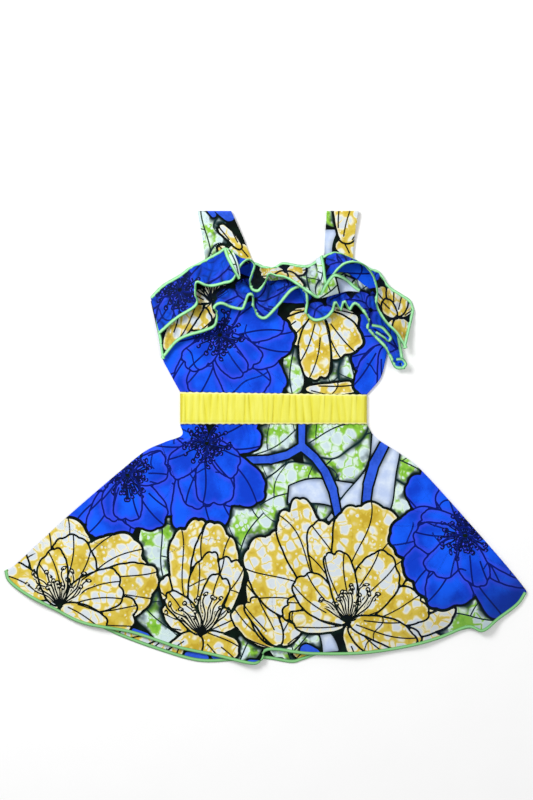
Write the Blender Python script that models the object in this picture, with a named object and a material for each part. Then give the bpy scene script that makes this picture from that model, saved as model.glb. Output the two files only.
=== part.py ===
"""Toddler's sleeveless wax print dress, laid flat on its back with the front up.

X runs across the dress, +Y runs from the hem to the shoulders and +Z leaves the surface that it
lies on. The origin is the middle of its bounding box, on that surface. Lengths are in millimetres
until a mesh is made.
"""

import math

import bpy
import numpy as np

MM = 0.001

# The tables below measure y from the lower part of the waistband; this is the middle of the dress
MIDDLE_Y = -19.4

# Cloth and how it lies
CLOTH = 1.2
GAP = 0.3
FRONT_FLOOR = CLOTH + GAP
BAND_WALL = 2.4

# Waistband
BAND_LEFT, BAND_RIGHT = -99.0, 117.5
BAND_BOTTOM = -4.0
BAND_TOP_LEFT, BAND_TOP_RIGHT = 33.0, 30.0
GATHERS = 28
BAND_GATHER_HEIGHT = 1.5

# Skirt
SKIRT_REST = 1.2
SKIRT_GATHER_HEIGHT = 1.5
SKIRT_GATHER_LENGTH = 30.0
SKIRT_ROWS = 11

# Bodice
BODICE_REST = 1.0
PUCKERS = 14
PUCKER_HEIGHT = 1.3
PUCKER_LENGTH = 16.0
BODICE_ROWS = 8

# Straps
SHOULDER = 243.0
STRAP_FOLD_RADIUS = 2.2
STRAP_COLUMNS = 12
STRAP_SEAM = 0.5

# Ruffles
RUFFLE_COLUMNS = 132
RUFFLE_ROWS = 5
BED_CELL = 2.5
BED_SPREAD = 2
RUFFLE_SLACK = 0.5

# Outlines, each point (x, y)
SKIRT_LEFT = [
    (-99, -4.3), (-97, -17), (-117, -25), (-137, -34), (-157, -49), (-228, -110), (-292, -169),
    (-302.2, -174),
]
SKIRT_RIGHT = [
    (117.5, -4.3), (128, -20), (157, -39), (180, -57), (224, -105), (274, -162), (300, -194),
    (302.2, -200),
]
FRONT_HEM = [
    (-302.2, -174), (-298, -186), (-279, -201), (-245, -219), (-212, -235), (-156, -246), (-103, -263),
    (-62, -272), (-24, -280.5), (-8, -280.5), (-1, -268), (14, -266), (54, -271), (111, -270), (157, -264),
    (200, -253), (234, -240), (251, -244), (269, -231), (292, -214), (302.2, -200),
]
BACK_HEM = [
    (-302.2, -174), (-294, -185), (-262, -206), (-212, -229), (-170, -249), (-121, -267), (-77, -279),
    (-35, -278), (-1, -276), (30, -280.5), (44, -277), (75, -268), (157, -260), (200, -250), (234, -241),
    (256, -238), (292, -212), (302.2, -200),
]
BODICE_LEFT = [(-133, 138), (-127, 111), (-122, 88), (-119, 71), (-112, 57), (-99, 33.3)]
BODICE_RIGHT = [(151, 144), (148, 117), (142, 88), (139, 70), (133, 49), (117.5, 30.3)]
NECKLINE = [
    (-133, 138), (-117, 152), (-90, 169), (-66, 183), (-40, 186), (-12, 180), (6, 173), (28, 178),
    (42, 175), (55, 178), (68, 184), (100, 183), (133, 167), (151, 144),
]

# Soft folds of the skirt front: where each starts at the waist and ends at the hem (0 left, 1 right),
# how far down it starts, its half width as a share of the hem, and its height
SKIRT_FOLDS = [
    # at_waist, at_hem, starts, half_width, height
    (0.06, 0.085, 0.25, 0.030, 2.5),
    (0.17, 0.200, 0.10, 0.035, 3.0),
    (0.28, 0.330, 0.35, 0.030, 2.2),
    (0.42, 0.470, 0.45, 0.022, 5.0),
    (0.53, 0.555, 0.20, 0.030, 2.8),
    (0.64, 0.670, 0.05, 0.040, 3.2),
    (0.76, 0.785, 0.30, 0.028, 2.4),
    (0.88, 0.905, 0.40, 0.022, 5.5),
]

# Straps: width at each height, from the shoulder down to the neckline
STRAPS = {
    # name: (y, left_x, right_x)
    "strap_left": [(243, -79, -40), (212, -73, -26), (180, -69, -13)],
    "strap_right": [(243, 71, 108), (212, 69, 103), (180, 68, 101)],
}

# Ruffles: a row for each turn of the cloth, from the left end to the right one. The heading is sewn
# down; the free edge stands `lift` above what lies below it.
UPPER_RUFFLE = [
    # heading_x, heading_y, edge_x, edge_y, lift
    (-133, 143, -122, 100, 1),
    (-119, 157, -102, 117, 4),
    (-99, 169, -79, 132, 9),
    (-90, 176, -80, 145, 12),
    (-82, 180, -79, 158, 13),
    (-72, 185, -70, 155, 9),
    (-64, 190, -61, 154, 6),
    (-55, 195, -48, 157, 7),
    (-46, 200, -37, 161, 10),
    (-35, 193, -28, 178, 15),
    (-29, 188, -19, 185, 16),
    (-23, 186, -12, 179, 15),
    (-18, 184, -15, 168, 11),
    (-13, 183, -18, 158, 8),
    (-9, 182, -16, 150, 6),
    (-3, 179, -8, 148, 7),
    (3, 178, -1, 157, 10),
    (8, 177, 4, 168, 12),
    (13, 179, 13, 166, 8),
    (21, 183, 25, 163, 5),
    (39, 180, 46, 149, 4),
    (50, 180, 59, 141, 6),
    (57, 184, 66, 146, 10),
    (66, 190, 76, 164, 14),
    (81, 195, 92, 180, 16),
    (99, 188, 111, 180, 16),
    (110, 183, 124, 167, 14),
    (122, 176, 129, 148, 11),
    (132, 172, 128, 130, 8),
    (143, 156, 137, 114, 6),
    (158, 146, 149, 102, 4),
    (168, 139, 156, 92, 3),
    (172, 128, 161, 83, 2),
]
LOWER_RUFFLE = [
    # heading_x, heading_y, edge_x, edge_y, lift
    (-128, 126, -119, 71, 1),
    (-111, 141, -99, 93, 4),
    (-92, 153, -70, 103, 6),
    (-84, 157, -58, 109, 8),
    (-76, 162, -55, 120, 11),
    (-68, 165, -58, 130, 12),
    (-60, 169, -51, 134, 11),
    (-52, 172, -40, 130, 7),
    (-44, 175, -27, 128, 5),
    (-38, 173, -23, 134, 7),
    (-32, 171, -19, 144, 10),
    (-26, 169, -14, 142, 9),
    (-20, 167, -13, 130, 6),
    (-14, 165, -9, 120, 4),
    (-6, 163, 1, 118, 4),
    (2, 162, 16, 133, 7),
    (10, 162, 30, 149, 11),
    (18, 163, 41, 153, 12),
    (26, 164, 48, 147, 12),
    (33, 163, 49, 135, 9),
    (40, 162, 48, 122, 6),
    (47, 161, 57, 115, 4),
    (54, 162, 70, 118, 5),
    (61, 164, 78, 126, 8),
    (68, 166, 81, 135, 11),
    (75, 169, 87, 127, 7),
    (82, 171, 91, 136, 11),
    (89, 172, 97, 127, 7),
    (96, 170, 103, 134, 11),
    (103, 166, 111, 127, 9),
    (108, 162, 119, 114, 8),
    (114, 157, 119, 104, 7),
    (120, 153, 126, 96, 6),
    (132, 142, 139, 82, 5),
    (142, 132, 147, 65, 4),
    (147, 127, 152, 60, 3),
    (151, 122, 161, 60, 2),
]

# Colours: linear base colour, roughness
WAX_PRINT = ((0.018, 0.085, 0.62), 0.62)
BAND_YELLOW = ((0.80, 0.76, 0.06), 0.55)


def curve_through(points, shares, measured=slice(None)):
    """Points at the given shares of the length of the Catmull-Rom curve through a row of points.

    The length is measured in the chosen columns only.
    """
    points = np.asarray(points, float)
    knots = np.vstack([2 * points[0] - points[1], points, 2 * points[-1] - points[-2]])
    a, b, c, d = (knots[i:len(knots) - 3 + i, None, :] for i in range(4))
    t = np.linspace(0, 1, 16, endpoint=False)[None, :, None]
    bent = b + 0.5 * t * ((c - a) + t * ((2 * a - 5 * b + 4 * c - d) + t * (3 * b - a - 3 * c + d)))
    line = np.vstack([bent.reshape(-1, points.shape[1]), points[-1:]])
    steps = np.linalg.norm(np.diff(line[:, measured], axis=0), axis=1)
    along = np.concatenate([[0], np.cumsum(steps)])
    wanted = np.asarray(shares) * along[-1]
    return np.column_stack([np.interp(wanted, along, column) for column in line.T])


def smooth_step(x):
    """0 below 0, 1 above 1, and an even turn between them."""
    x = np.clip(x, 0, 1)
    return x * x * (3 - 2 * x)


def patch(top, bottom, left, right):
    """Coons patch: the grid of plan points whose four edges are the given curves."""
    u = np.linspace(0, 1, len(top))[None, :, None]
    v = np.linspace(0, 1, len(left))[:, None, None]
    across = (1 - u) * left[:, None] + u * right[:, None]
    down = (1 - v) * top[None] + v * bottom[None]
    corners = (1 - v) * ((1 - u) * top[0] + u * top[-1]) + v * ((1 - u) * bottom[0] + u * bottom[-1])
    return across + down - corners


def uneven(shares):
    """The shares moved a little to and fro, so that gathers are not all alike."""
    return shares + 0.006 * np.sin(6 * math.pi * shares) + 0.003 * np.sin(14 * math.pi * shares)


def at_height(plan, height):
    """The plan grid with its heights, as a grid of points."""
    return np.concatenate([plan, np.broadcast_to(height, plan.shape[:2])[..., None]], axis=-1)


def material(name, finish):
    """A Principled material of one colour and roughness."""
    made = bpy.data.materials.get(name) or bpy.data.materials.new(name)
    made.use_nodes = True
    colour, roughness = finish
    shader = made.node_tree.nodes["Principled BSDF"]
    shader.inputs["Base Color"].default_value = (*colour, 1)
    shader.inputs["Roughness"].default_value = roughness
    shader.inputs["Metallic"].default_value = 0
    return made


def add_object(name, points, faces, finish_name, finish):
    """A named mesh object from points in millimetres, moved so that the dress is centred."""
    mesh = bpy.data.meshes.new(name)
    mesh.from_pydata(((np.asarray(points) - (0, MIDDLE_Y, 0)) * MM).tolist(), [], faces)
    mesh.materials.append(material(finish_name, finish))
    mesh.shade_smooth()
    mesh.set_sharp_from_angle(angle=math.radians(50))
    made = bpy.data.objects.new(name, mesh)
    bpy.context.scene.collection.objects.link(made)
    return made


def wall(name, outer, inner, finish_name, finish, ring=False):
    """Closed wall between two grids of points whose rows run downwards and columns to the right.

    A ring joins its last column to its first.
    """
    rows, columns = outer.shape[:2]
    index = np.arange(rows * columns).reshape(rows, columns)
    if ring:
        index = np.column_stack([index, index[:, 0]])
    under = index + rows * columns
    quads = [
        np.stack([index[:-1, :-1], index[1:, :-1], index[1:, 1:], index[:-1, 1:]], axis=-1),
        np.stack([under[:-1, :-1], under[:-1, 1:], under[1:, 1:], under[1:, :-1]], axis=-1),
        rim(index[-1], under[-1]),
        rim(index[0, ::-1], under[0, ::-1]),
    ]
    if not ring:
        quads.append(rim(index[:, 0], under[:, 0]))
        quads.append(rim(index[::-1, -1], under[::-1, -1]))
    faces = np.concatenate([quad.reshape(-1, 4) for quad in quads])
    points = np.concatenate([outer.reshape(-1, 3), inner.reshape(-1, 3)])
    return add_object(name, points, faces.tolist(), finish_name, finish)


def rim(edge, under):
    """Quads that close a wall along one edge."""
    return np.stack([edge[1:], edge[:-1], under[:-1], under[1:]], axis=-1)


def plate(name, outline, finish_name, finish):
    """Flat cloth of the given outline, lying on the surface."""
    count = len(outline)
    low = np.column_stack([outline, np.zeros(count)])
    high = np.column_stack([outline, np.full(count, CLOTH)])
    around = np.arange(count)
    after = np.roll(around, -1)
    sides = np.stack([around, after, after + count, around + count], axis=-1)
    faces = [list(range(count))[::-1], list(range(count, 2 * count)), *sides.tolist()]
    return add_object(name, np.concatenate([low, high]), faces, finish_name, finish)


def closed_outline(top, bottom, left, right):
    """The four edges of a panel joined into one outline, anticlockwise from above."""
    return np.concatenate([left[:-1], bottom[:-1], right[::-1][:-1], top[::-1][:-1]])


def waist_line(shares, low):
    """Points along the lower edge of the waistband, or along its upper edge, clear of the band."""
    x = BAND_LEFT + (BAND_RIGHT - BAND_LEFT) * shares
    if low:
        return np.column_stack([x, np.full(len(x), BAND_BOTTOM - GAP)])
    return np.column_stack([x, BAND_TOP_LEFT + (BAND_TOP_RIGHT - BAND_TOP_LEFT) * shares + GAP])


def seam_ramp(shares):
    """0 at the two side seams, where front and back meet, and 1 a little way in."""
    return smooth_step(np.minimum(shares, 1 - shares) / 0.05)


def make_skirt_back():
    """Back skirt panel: flat cloth under the front one."""
    even = np.linspace(0, 1, 40)
    outline = closed_outline(
        waist_line(np.linspace(0, 1, 3), low=True),
        curve_through(BACK_HEM, np.linspace(0, 1, 70)),
        curve_through(SKIRT_LEFT, even),
        curve_through(SKIRT_RIGHT, even),
    )
    return plate("skirt_back", outline, "wax_print", WAX_PRINT)


def skirt_front_surface(columns, rows):
    """Lower face of the front skirt panel, gathered at the waist and softly folded to the hem."""
    turn = np.linspace(0, 1, columns)
    u = uneven(turn)
    v = np.linspace(0, 1, rows) ** 1.6
    plan = patch(
        waist_line(u, low=True),
        curve_through(FRONT_HEM, u),
        curve_through(SKIRT_LEFT, v),
        curve_through(SKIRT_RIGHT, v),
    )
    below = np.linalg.norm(plan - plan[:1], axis=-1)
    length = SKIRT_GATHER_LENGTH * (1 + 0.4 * np.sin(22 * math.pi * turn))
    gather = 0.5 - 0.5 * np.cos(2 * math.pi * GATHERS * turn)
    height = SKIRT_REST + SKIRT_GATHER_HEIGHT * gather * np.exp(-(below / length) ** 2)
    down = v[:, None]
    for at_waist, at_hem, starts, half_width, fold_height in SKIRT_FOLDS:
        centre = at_waist + (at_hem - at_waist) * down
        bell = np.exp(-((u[None] - centre) / half_width) ** 2)
        height = height + fold_height * bell * smooth_step((down - starts) / 0.5)
    return at_height(plan, FRONT_FLOOR + seam_ramp(u) * height)


def make_skirt_front():
    """Front skirt panel."""
    lower = skirt_front_surface(4 * GATHERS + 1, SKIRT_ROWS)
    return wall("skirt_front", lower + (0, 0, CLOTH), lower, "wax_print", WAX_PRINT)


def make_bodice_back():
    """Back bodice panel: flat cloth under the front one."""
    outline = closed_outline(
        curve_through(NECKLINE, np.linspace(0, 1, 40)),
        waist_line(np.linspace(0, 1, 3), low=False),
        curve_through(BODICE_LEFT, np.linspace(0, 1, 14)),
        curve_through(BODICE_RIGHT, np.linspace(0, 1, 14)),
    )
    return plate("bodice_back", outline, "wax_print", WAX_PRINT)


def bodice_front_surface(columns, rows):
    """Lower face of the front bodice panel, puckered above the waistband."""
    turn = np.linspace(0, 1, columns)
    u = uneven(turn)
    v = 1 - np.linspace(1, 0, rows) ** 1.5
    plan = patch(
        curve_through(NECKLINE, u),
        waist_line(u, low=False),
        curve_through(BODICE_LEFT, v),
        curve_through(BODICE_RIGHT, v),
    )
    above = np.linalg.norm(plan - plan[-1:], axis=-1)
    length = PUCKER_LENGTH * (1 + 0.4 * np.sin(10 * math.pi * turn))
    pucker = 0.5 - 0.5 * np.cos(2 * math.pi * PUCKERS * turn)
    height = BODICE_REST + PUCKER_HEIGHT * pucker * np.exp(-(above / length) ** 2)
    return at_height(plan, FRONT_FLOOR + seam_ramp(u) * height)


def make_bodice_front():
    """Front bodice panel."""
    lower = bodice_front_surface(4 * PUCKERS + 1, BODICE_ROWS)
    return wall("bodice_front", lower + (0, 0, CLOTH), lower, "wax_print", WAX_PRINT)


def flat_ring(radius, height, front_count, end_count, back_count):
    """Cross-section of a flattened ring: points (x, z) along its front, an end, its back, an end."""
    start, stop = BAND_LEFT + height, BAND_RIGHT - height
    turn = np.linspace(0, math.pi, end_count + 2)[1:-1]
    front = np.linspace((start, height + radius), (stop, height + radius), front_count)
    back = np.linspace((stop, height - radius), (start, height - radius), back_count)
    right = np.column_stack([stop + radius * np.sin(turn), height + radius * np.cos(turn)])
    left = np.column_stack([start - radius * np.sin(turn), height - radius * np.cos(turn)])
    return np.concatenate([front, right, back, left])


def make_waistband():
    """Elastic waistband: a flattened ring of doubled cloth, its front wall gathered outside."""
    front_count, end_count, back_count = 4 * GATHERS + 1, 5, 8
    half = BAND_WALL + GAP
    outer = flat_ring(half, half, front_count, end_count, back_count)
    inner = flat_ring(GAP, half, front_count, end_count, back_count)
    turn = np.linspace(0, 1, front_count)
    gather = 0.5 - 0.5 * np.cos(2 * math.pi * GATHERS * turn)
    uneven_height = 0.75 + 0.25 * np.sin(2 * math.pi * 5 * turn + 1)
    down = np.array([0, 0.15, 0.85, 1])
    puff = np.array([0.4, 1, 1, 0.4])
    share = (outer[:, 0] - BAND_LEFT) / (BAND_RIGHT - BAND_LEFT)
    top = BAND_TOP_LEFT + (BAND_TOP_RIGHT - BAND_TOP_LEFT) * share
    y = top + (BAND_BOTTOM - top) * down[:, None]
    raised = np.zeros((len(down), len(outer)))
    raised[:, :front_count] = BAND_GATHER_HEIGHT * puff[:, None] * gather * uneven_height
    outside = np.stack(np.broadcast_arrays(outer[:, 0], y, outer[:, 1] + raised), axis=-1)
    inside = np.stack(np.broadcast_arrays(inner[:, 0], y, inner[:, 1]), axis=-1)
    return wall("waistband", outside, inside, "waistband", BAND_YELLOW, ring=True)


def strap_line(end):
    """Middle of a strap's wall from the front neckline over the shoulder to the back one: y, z."""
    low = CLOTH / 2
    high = low + 2 * STRAP_FOLD_RADIUS
    turn = np.linspace(0, math.pi, 9)
    fold_y = SHOULDER - STRAP_FOLD_RADIUS - CLOTH / 2
    down = np.linspace(0, 1, 9)
    front_y = end + (fold_y - end) * down
    front_z = FRONT_FLOOR + low + (high - FRONT_FLOOR - low) * smooth_step(down)
    y = np.concatenate([front_y[:-1], fold_y + STRAP_FOLD_RADIUS * np.sin(turn), front_y[::-1][1:]])
    z = np.concatenate([
        front_z[:-1],
        low + STRAP_FOLD_RADIUS * (1 + np.cos(turn)),
        np.full(len(down) - 1, low),
    ])
    return y, z


def make_strap(name):
    """Shoulder strap: one band that turns over at the shoulder, its two ends at the necklines."""
    table = np.array(STRAPS[name], float)[::-1]
    neckline = curve_through(NECKLINE, np.linspace(0, 1, 200))
    columns = []
    for across in np.linspace(0, 1, STRAP_COLUMNS):
        end_x = table[0, 1] + (table[0, 2] - table[0, 1]) * across
        end_y = np.interp(end_x, neckline[:, 0], neckline[:, 1]) + STRAP_SEAM
        y, z = strap_line(end_y)
        left = np.interp(y, table[:, 0], table[:, 1])
        right = np.interp(y, table[:, 0], table[:, 2])
        columns.append(np.column_stack([left + (right - left) * across, y, z]))
    outer, inner = both_faces(np.stack(columns, axis=1)[::-1])
    wall(name, outer, inner, "wax_print", WAX_PRINT)
    return outer


def both_faces(middle):
    """The two faces of a wall of cloth around its middle surface."""
    along = np.gradient(middle, axis=1)
    down = np.gradient(middle, axis=0)
    normal = np.cross(down, along)
    normal /= np.linalg.norm(normal, axis=-1, keepdims=True)
    return middle + normal * CLOTH / 2, middle - normal * CLOTH / 2


def dense(grid, times):
    """A grid of points with straight steps added between its own."""
    for axis in (0, 1):
        count = grid.shape[axis]
        wanted = np.linspace(0, count - 1, (count - 1) * times + 1)
        low = np.minimum(wanted.astype(int), count - 2)
        share = (wanted - low).reshape((-1, 1, 1) if axis == 0 else (1, -1, 1))
        grid = np.take(grid, low, axis) * (1 - share) + np.take(grid, low + 1, axis) * share
    return grid


def shifted_stack(field, reach):
    """The field and its copies moved by every step up to the reach, with the borders repeated."""
    padded = np.pad(field, reach, mode="edge")
    size = 2 * reach + 1
    rows, columns = field.shape
    return np.stack([padded[i:i + rows, j:j + columns] for i in range(size) for j in range(size)])


def bed_over(grids):
    """The height of cloth laid over some pieces: a function of plan points.

    Their highest points on a square plan grid are spread by a few cells and then averaged over
    the same reach, which never comes out lower than the pieces.
    """
    points = np.concatenate([dense(grid, 6).reshape(-1, 3) for grid in grids])
    low = points[:, :2].min(axis=0) - 40
    shape = tuple(((points[:, :2].max(axis=0) + 40 - low) / BED_CELL).astype(int) + 1)
    field = np.full(shape, FRONT_FLOOR)
    cells = ((points[:, :2] - low) / BED_CELL).astype(int)
    np.maximum.at(field, tuple(cells.T), points[:, 2])
    field = shifted_stack(field, BED_SPREAD + 1).max(axis=0)
    field = shifted_stack(field, BED_SPREAD).mean(axis=0)

    def bed(plan):
        place = np.clip((plan - low) / BED_CELL - 0.5, 0, np.array(shape) - 1.001)
        i, j = np.moveaxis(place.astype(int), -1, 0)
        s, t = np.moveaxis(place - place.astype(int), -1, 0)
        near = field[i, j] * (1 - t) + field[i, j + 1] * t
        far = field[i + 1, j] * (1 - t) + field[i + 1, j + 1] * t
        return near * (1 - s) + far * s

    return bed


def make_ruffle(name, table, below):
    """Gathered strip: straight threads run from the sewn heading to the waved free edge."""
    stations = curve_through(table, np.linspace(0, 1, RUFFLE_COLUMNS), measured=slice(2, 4))
    v = np.linspace(0, 1, RUFFLE_ROWS + 1)[:, None, None]
    plan = (1 - v) * stations[None, :, :2] + v * stations[None, :, 2:4]
    lift = stations[None, :, 4] * v[..., 0]
    middle = at_height(plan, bed_over(below)(plan) + GAP + CLOTH / 2 + RUFFLE_SLACK * v[..., 0] + lift)
    outer, inner = both_faces(middle)
    wall(name, outer, inner, "wax_print", WAX_PRINT)
    return outer


def make_dress():
    """Every piece of the dress, from the surface up."""
    make_skirt_back()
    make_bodice_back()
    make_skirt_front()
    make_bodice_front()
    make_waistband()
    straps = [make_strap(name) for name in STRAPS]
    bodice = bodice_front_surface(4 * PUCKERS + 1, BODICE_ROWS) + (0, 0, CLOTH)
    lower_ruffle = make_ruffle("ruffle_lower", LOWER_RUFFLE, [bodice])
    make_ruffle("ruffle_upper", UPPER_RUFFLE, [bodice, lower_ruffle, *straps])


for startup_object in list(bpy.data.objects):
    bpy.data.objects.remove(startup_object)
make_dress()
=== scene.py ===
"""The looks of a toddler's sleeveless wax print dress, laid flat on a pale table with its front up.

X runs across the dress, +Y runs from the hem to the shoulders and +Z leaves the table. Tables and
shape functions are in millimetres, with y measured from the waistband, until a mesh is made.
"""
import functools
import math

import bmesh
import bpy
import numpy as np
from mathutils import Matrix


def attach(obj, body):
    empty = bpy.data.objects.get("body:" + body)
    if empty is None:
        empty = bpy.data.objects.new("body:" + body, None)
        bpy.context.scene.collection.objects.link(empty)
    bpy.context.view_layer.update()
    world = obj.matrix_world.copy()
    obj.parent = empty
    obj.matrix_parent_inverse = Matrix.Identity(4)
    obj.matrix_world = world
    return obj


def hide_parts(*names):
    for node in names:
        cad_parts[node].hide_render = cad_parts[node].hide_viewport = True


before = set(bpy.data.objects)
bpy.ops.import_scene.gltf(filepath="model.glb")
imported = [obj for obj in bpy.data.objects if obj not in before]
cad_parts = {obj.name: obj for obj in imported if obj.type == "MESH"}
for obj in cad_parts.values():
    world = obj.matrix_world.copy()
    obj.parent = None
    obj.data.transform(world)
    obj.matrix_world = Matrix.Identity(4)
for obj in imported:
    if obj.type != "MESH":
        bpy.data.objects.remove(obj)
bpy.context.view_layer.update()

# ---------------------------------------------------------------------------------------------
# Back skirt: a flared panel that lies flat on the table under the front one, sewn to it at the
# sides. It is cut from the dress's cotton, a crisp plain weave with a wax print of large flowers,
# leaves and stems on black, and its hem is bound with green overlocking.
BACK_CLOTH = 0.8
BACK_COLUMNS, BACK_ROWS = 250, 84
# y of the dress's middle, which is the frame's origin
MIDDLE_Y = -19.4
SKIRT_LEFT = [
    (-99, -4.3), (-97, -17), (-117, -25), (-137, -34), (-157, -49), (-228, -110), (-292, -169),
    (-302.2, -174),
]
SKIRT_RIGHT = [
    (117.5, -4.3), (128, -20), (157, -39), (180, -57), (224, -105), (274, -162), (300, -194),
    (302.2, -200),
]
BACK_HEM = [
    (-302.2, -174), (-294, -185), (-262, -206), (-212, -229), (-170, -249), (-121, -267), (-77, -279),
    (-35, -278), (-1, -276), (30, -280.5), (44, -277), (75, -268), (157, -260), (200, -250), (234, -241),
    (256, -238), (292, -212), (302.2, -200),
]
WAIST_LEFT, WAIST_RIGHT = (-99, -4.3), (117.5, -4.3)
# Each flower: its colour, its heart (x, y), how its stamens stand, and its petals, back ones first
SKIRT_FLOWERS = [
    # petals: (turn in degrees, reach, half_width)
    ("blue", -68, -26, "all", [
        (232, 110, 35), (268, 102, 36), (300, 86, 30), (15, 63, 26), (197, 74, 23), (140, 39, 19),
        (250, 72, 23), (284, 70, 23), (325, 46, 16), (215, 52, 16), (90, 9, 6),
    ]),
    ("blue", -160, -63, "all", [
        (220, 84, 26), (256, 77, 30), (289, 67, 26), (12, 46, 19), (100, 37, 19), (190, 39, 15),
        (240, 52, 17), (272, 51, 17), (90, 9, 6),
    ]),
    ("gold", -238, -215, "up", [
        (127, 84, 34), (84, 100, 42), (43, 112, 36), (156, 76, 22), (8, 112, 32), (346, 86, 24),
        (215, 60, 24), (300, 50, 26), (66, 78, 28), (20, 74, 24), (108, 62, 18), (332, 56, 16),
    ]),
    ("gold", -75, -248, "up", [
        (90, 112, 22), (123, 76, 20), (104, 126, 26), (75, 124, 27), (58, 92, 20), (149, 52, 14),
        (35, 44, 15), (315, 46, 22), (222, 44, 19), (93, 90, 17), (72, 70, 15), (118, 58, 13),
    ]),
    ("gold", 16, -262, "none", [(135, 66, 22), (104, 98, 31), (64, 66, 20), (112, 62, 15)]),
    ("gold", 96, -233, "up", [
        (147, 138, 42), (124, 148, 28), (338, 106, 24), (6, 122, 32), (36, 122, 38), (106, 118, 28),
        (66, 132, 48), (166, 74, 18), (187, 64, 14), (300, 44, 20), (328, 84, 24), (144, 74, 21),
        (22, 88, 24), (52, 86, 26), (94, 80, 17), (350, 78, 16),
    ]),
    ("blue", 231, -133, "all", [
        (132, 90, 30), (171, 82, 30), (222, 82, 32), (262, 85, 30), (304, 108, 30), (322, 100, 26),
        (340, 90, 24), (114, 63, 21), (60, 40, 20), (150, 53, 16), (190, 56, 19), (236, 56, 19),
        (280, 58, 17), (90, 9, 6),
    ]),
]
# Leaves, pale leaf parts and stems, which lie under the flowers
SKIRT_BLADES = [
    # kind, and rows (from_x, from_y, to_x, to_y, half_width)
    ("leaf", [
        (-16, -40, 50, -4, 26), (49, -60, 138, -6, 42), (40, -26, 119, 0, 28), (-34, -164, 30, -44, 48),
        (-6, -100, 84, -64, 34), (40, -130, 98, -100, 22), (132, -146, 152, -30, 30),
        (144, -34, 200, -80, 22), (180, -228, 306, -226, 28), (-128, -100, -112, -196, 24),
        (-150, -196, -96, -262, 22), (14, -274, 70, -236, 22), (-40, -288, -4, -240, 17),
    ]),
    ("pale", [(100, -92, 26, -86, 20), (94, -126, 141, -14, 30), (76, -284, 62, -236, 11)]),
    ("stem", [
        (42, 4, 42, -30, 5), (42, -30, 25, -40, 5.5), (25, -40, 6, -45, 5.5), (6, -45, -26, -46, 5),
        (42, -30, 57, -43, 5.5), (57, -43, 69, -59, 5.5), (69, -59, 78, -80, 5.5), (78, -80, 86, -120, 5),
        (150, -12, 137, -29, 6), (137, -29, 126, -50, 6.5), (126, -50, 119, -74, 6),
        (119, -74, 114, -116, 5.5), (-194, -238, -178, -244, 7), (-162, -242, -139, -251, 6),
        (47, -266, 56, -271, 8), (72, -276, 140, -268, 7), (-84, -265, -76, -267, 6),
        (-18, -280, -8, -281, 5),
    ]),
]
KINDS = {"blue": 1, "gold": 2, "leaf": 3, "pale": 4, "stem": 5}
STAMENS = {"none": 0, "all": 1, "up": 2}
PRINT_SLOTS = 5
# A distance that is never inside a motif, and how near two motifs touch
NOWHERE = -1e3
TOUCHING = 3
# How square a petal's outline is, and how much a leaf's and a stem's edges wave
BLUNT = 2.4
EDGE_WAVE = 0.06
# Veins fan out from a little behind a petal's foot, and one that is left out is put far off
VEIN_FOOT = 14
VEIN_SPACING = 0.24
FAR_OFF = 9
# Half line widths, and other sizes of drawn lines
OUTLINE = 1.0
VEIN_HALF_WIDTH = 0.85
STAMEN_HALF_WIDTH = 0.85
STAMEN_RING = 2.2
SIDE_RIB_SPACING = 38
SLUB_SIZE = 0.8
SLUB_STRETCH = 0.08
# The print's dyes
BLUE_DEEP = (0.004, 0.045, 0.56)
BLUE_BRIGHT = (0.006, 0.105, 0.90)
VIOLET = (0.040, 0.068, 0.80)
NAVY = (0.001, 0.008, 0.15)
STAMEN_NAVY = (0.001, 0.004, 0.050)
GOLD = (0.63, 0.485, 0.065)
GOLD_DEEP = (0.52, 0.36, 0.030)
CREAM = (0.80, 0.79, 0.62)
WAX_WHITE = (0.60, 0.66, 0.71)
GREEN = (0.25, 0.53, 0.055)
GREEN_DEEP = (0.13, 0.38, 0.025)
LEAF_WHITE = (0.56, 0.69, 0.73)
MINT_WHITE = (0.68, 0.82, 0.74)
LAVENDER = (0.47, 0.57, 0.80)
WHITE = (0.70, 0.78, 0.86)
STEM_BLUE = (0.018, 0.068, 0.50)
STEM_LIGHT = (0.030, 0.105, 0.70)
GROUND = (0.0012, 0.0036, 0.0026)
GROUND_GREEN = (0.003, 0.013, 0.007)
INK = (0.0018, 0.0040, 0.0050)
TEAL_INK = (0.003, 0.020, 0.024)
# Not a dye: the dark blue of the painted shade in ruffles' creases and above the front hem
PAINTED_SHADE_DARK = (0.004, 0.010, 0.045)
# Overlocking: its size, how far it stands out past the cloth's edge, and its loops
EDGE_HALF_WIDTH = 2.0
EDGE_HALF_HEIGHT = 1.0
EDGE_OVERHANG = 0.6
LOOP_PITCH = 1.3
LOOP_STEPS = 2.5
LOOP_SIDES = 10
LOOP_SWELL = 0.10
# The back hem's thread is raised by this much, so that it rests on the table
HEM_LIFT = 0.3
# The hem thread's green, a paler green for fibres and painted highlights, and its painted shade
HEM_GREEN = (0.15, 0.44, 0.13)
HEM_FIBRE_AND_PAINTED_HIGHLIGHT = (0.27, 0.60, 0.26)
HEM_THREAD_PAINTED_SHADE = (0.02, 0.13, 0.025)


def run_of(line):
    """Each point's distance along a line of points."""
    return np.concatenate([[0], np.cumsum(np.linalg.norm(np.diff(line, axis=0), axis=1))])


def walk(values, along, wanted):
    """Rows of numbers read off at these distances along their line, evenly between two rows."""
    return np.column_stack([np.interp(wanted, along, column) for column in values.T])


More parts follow.
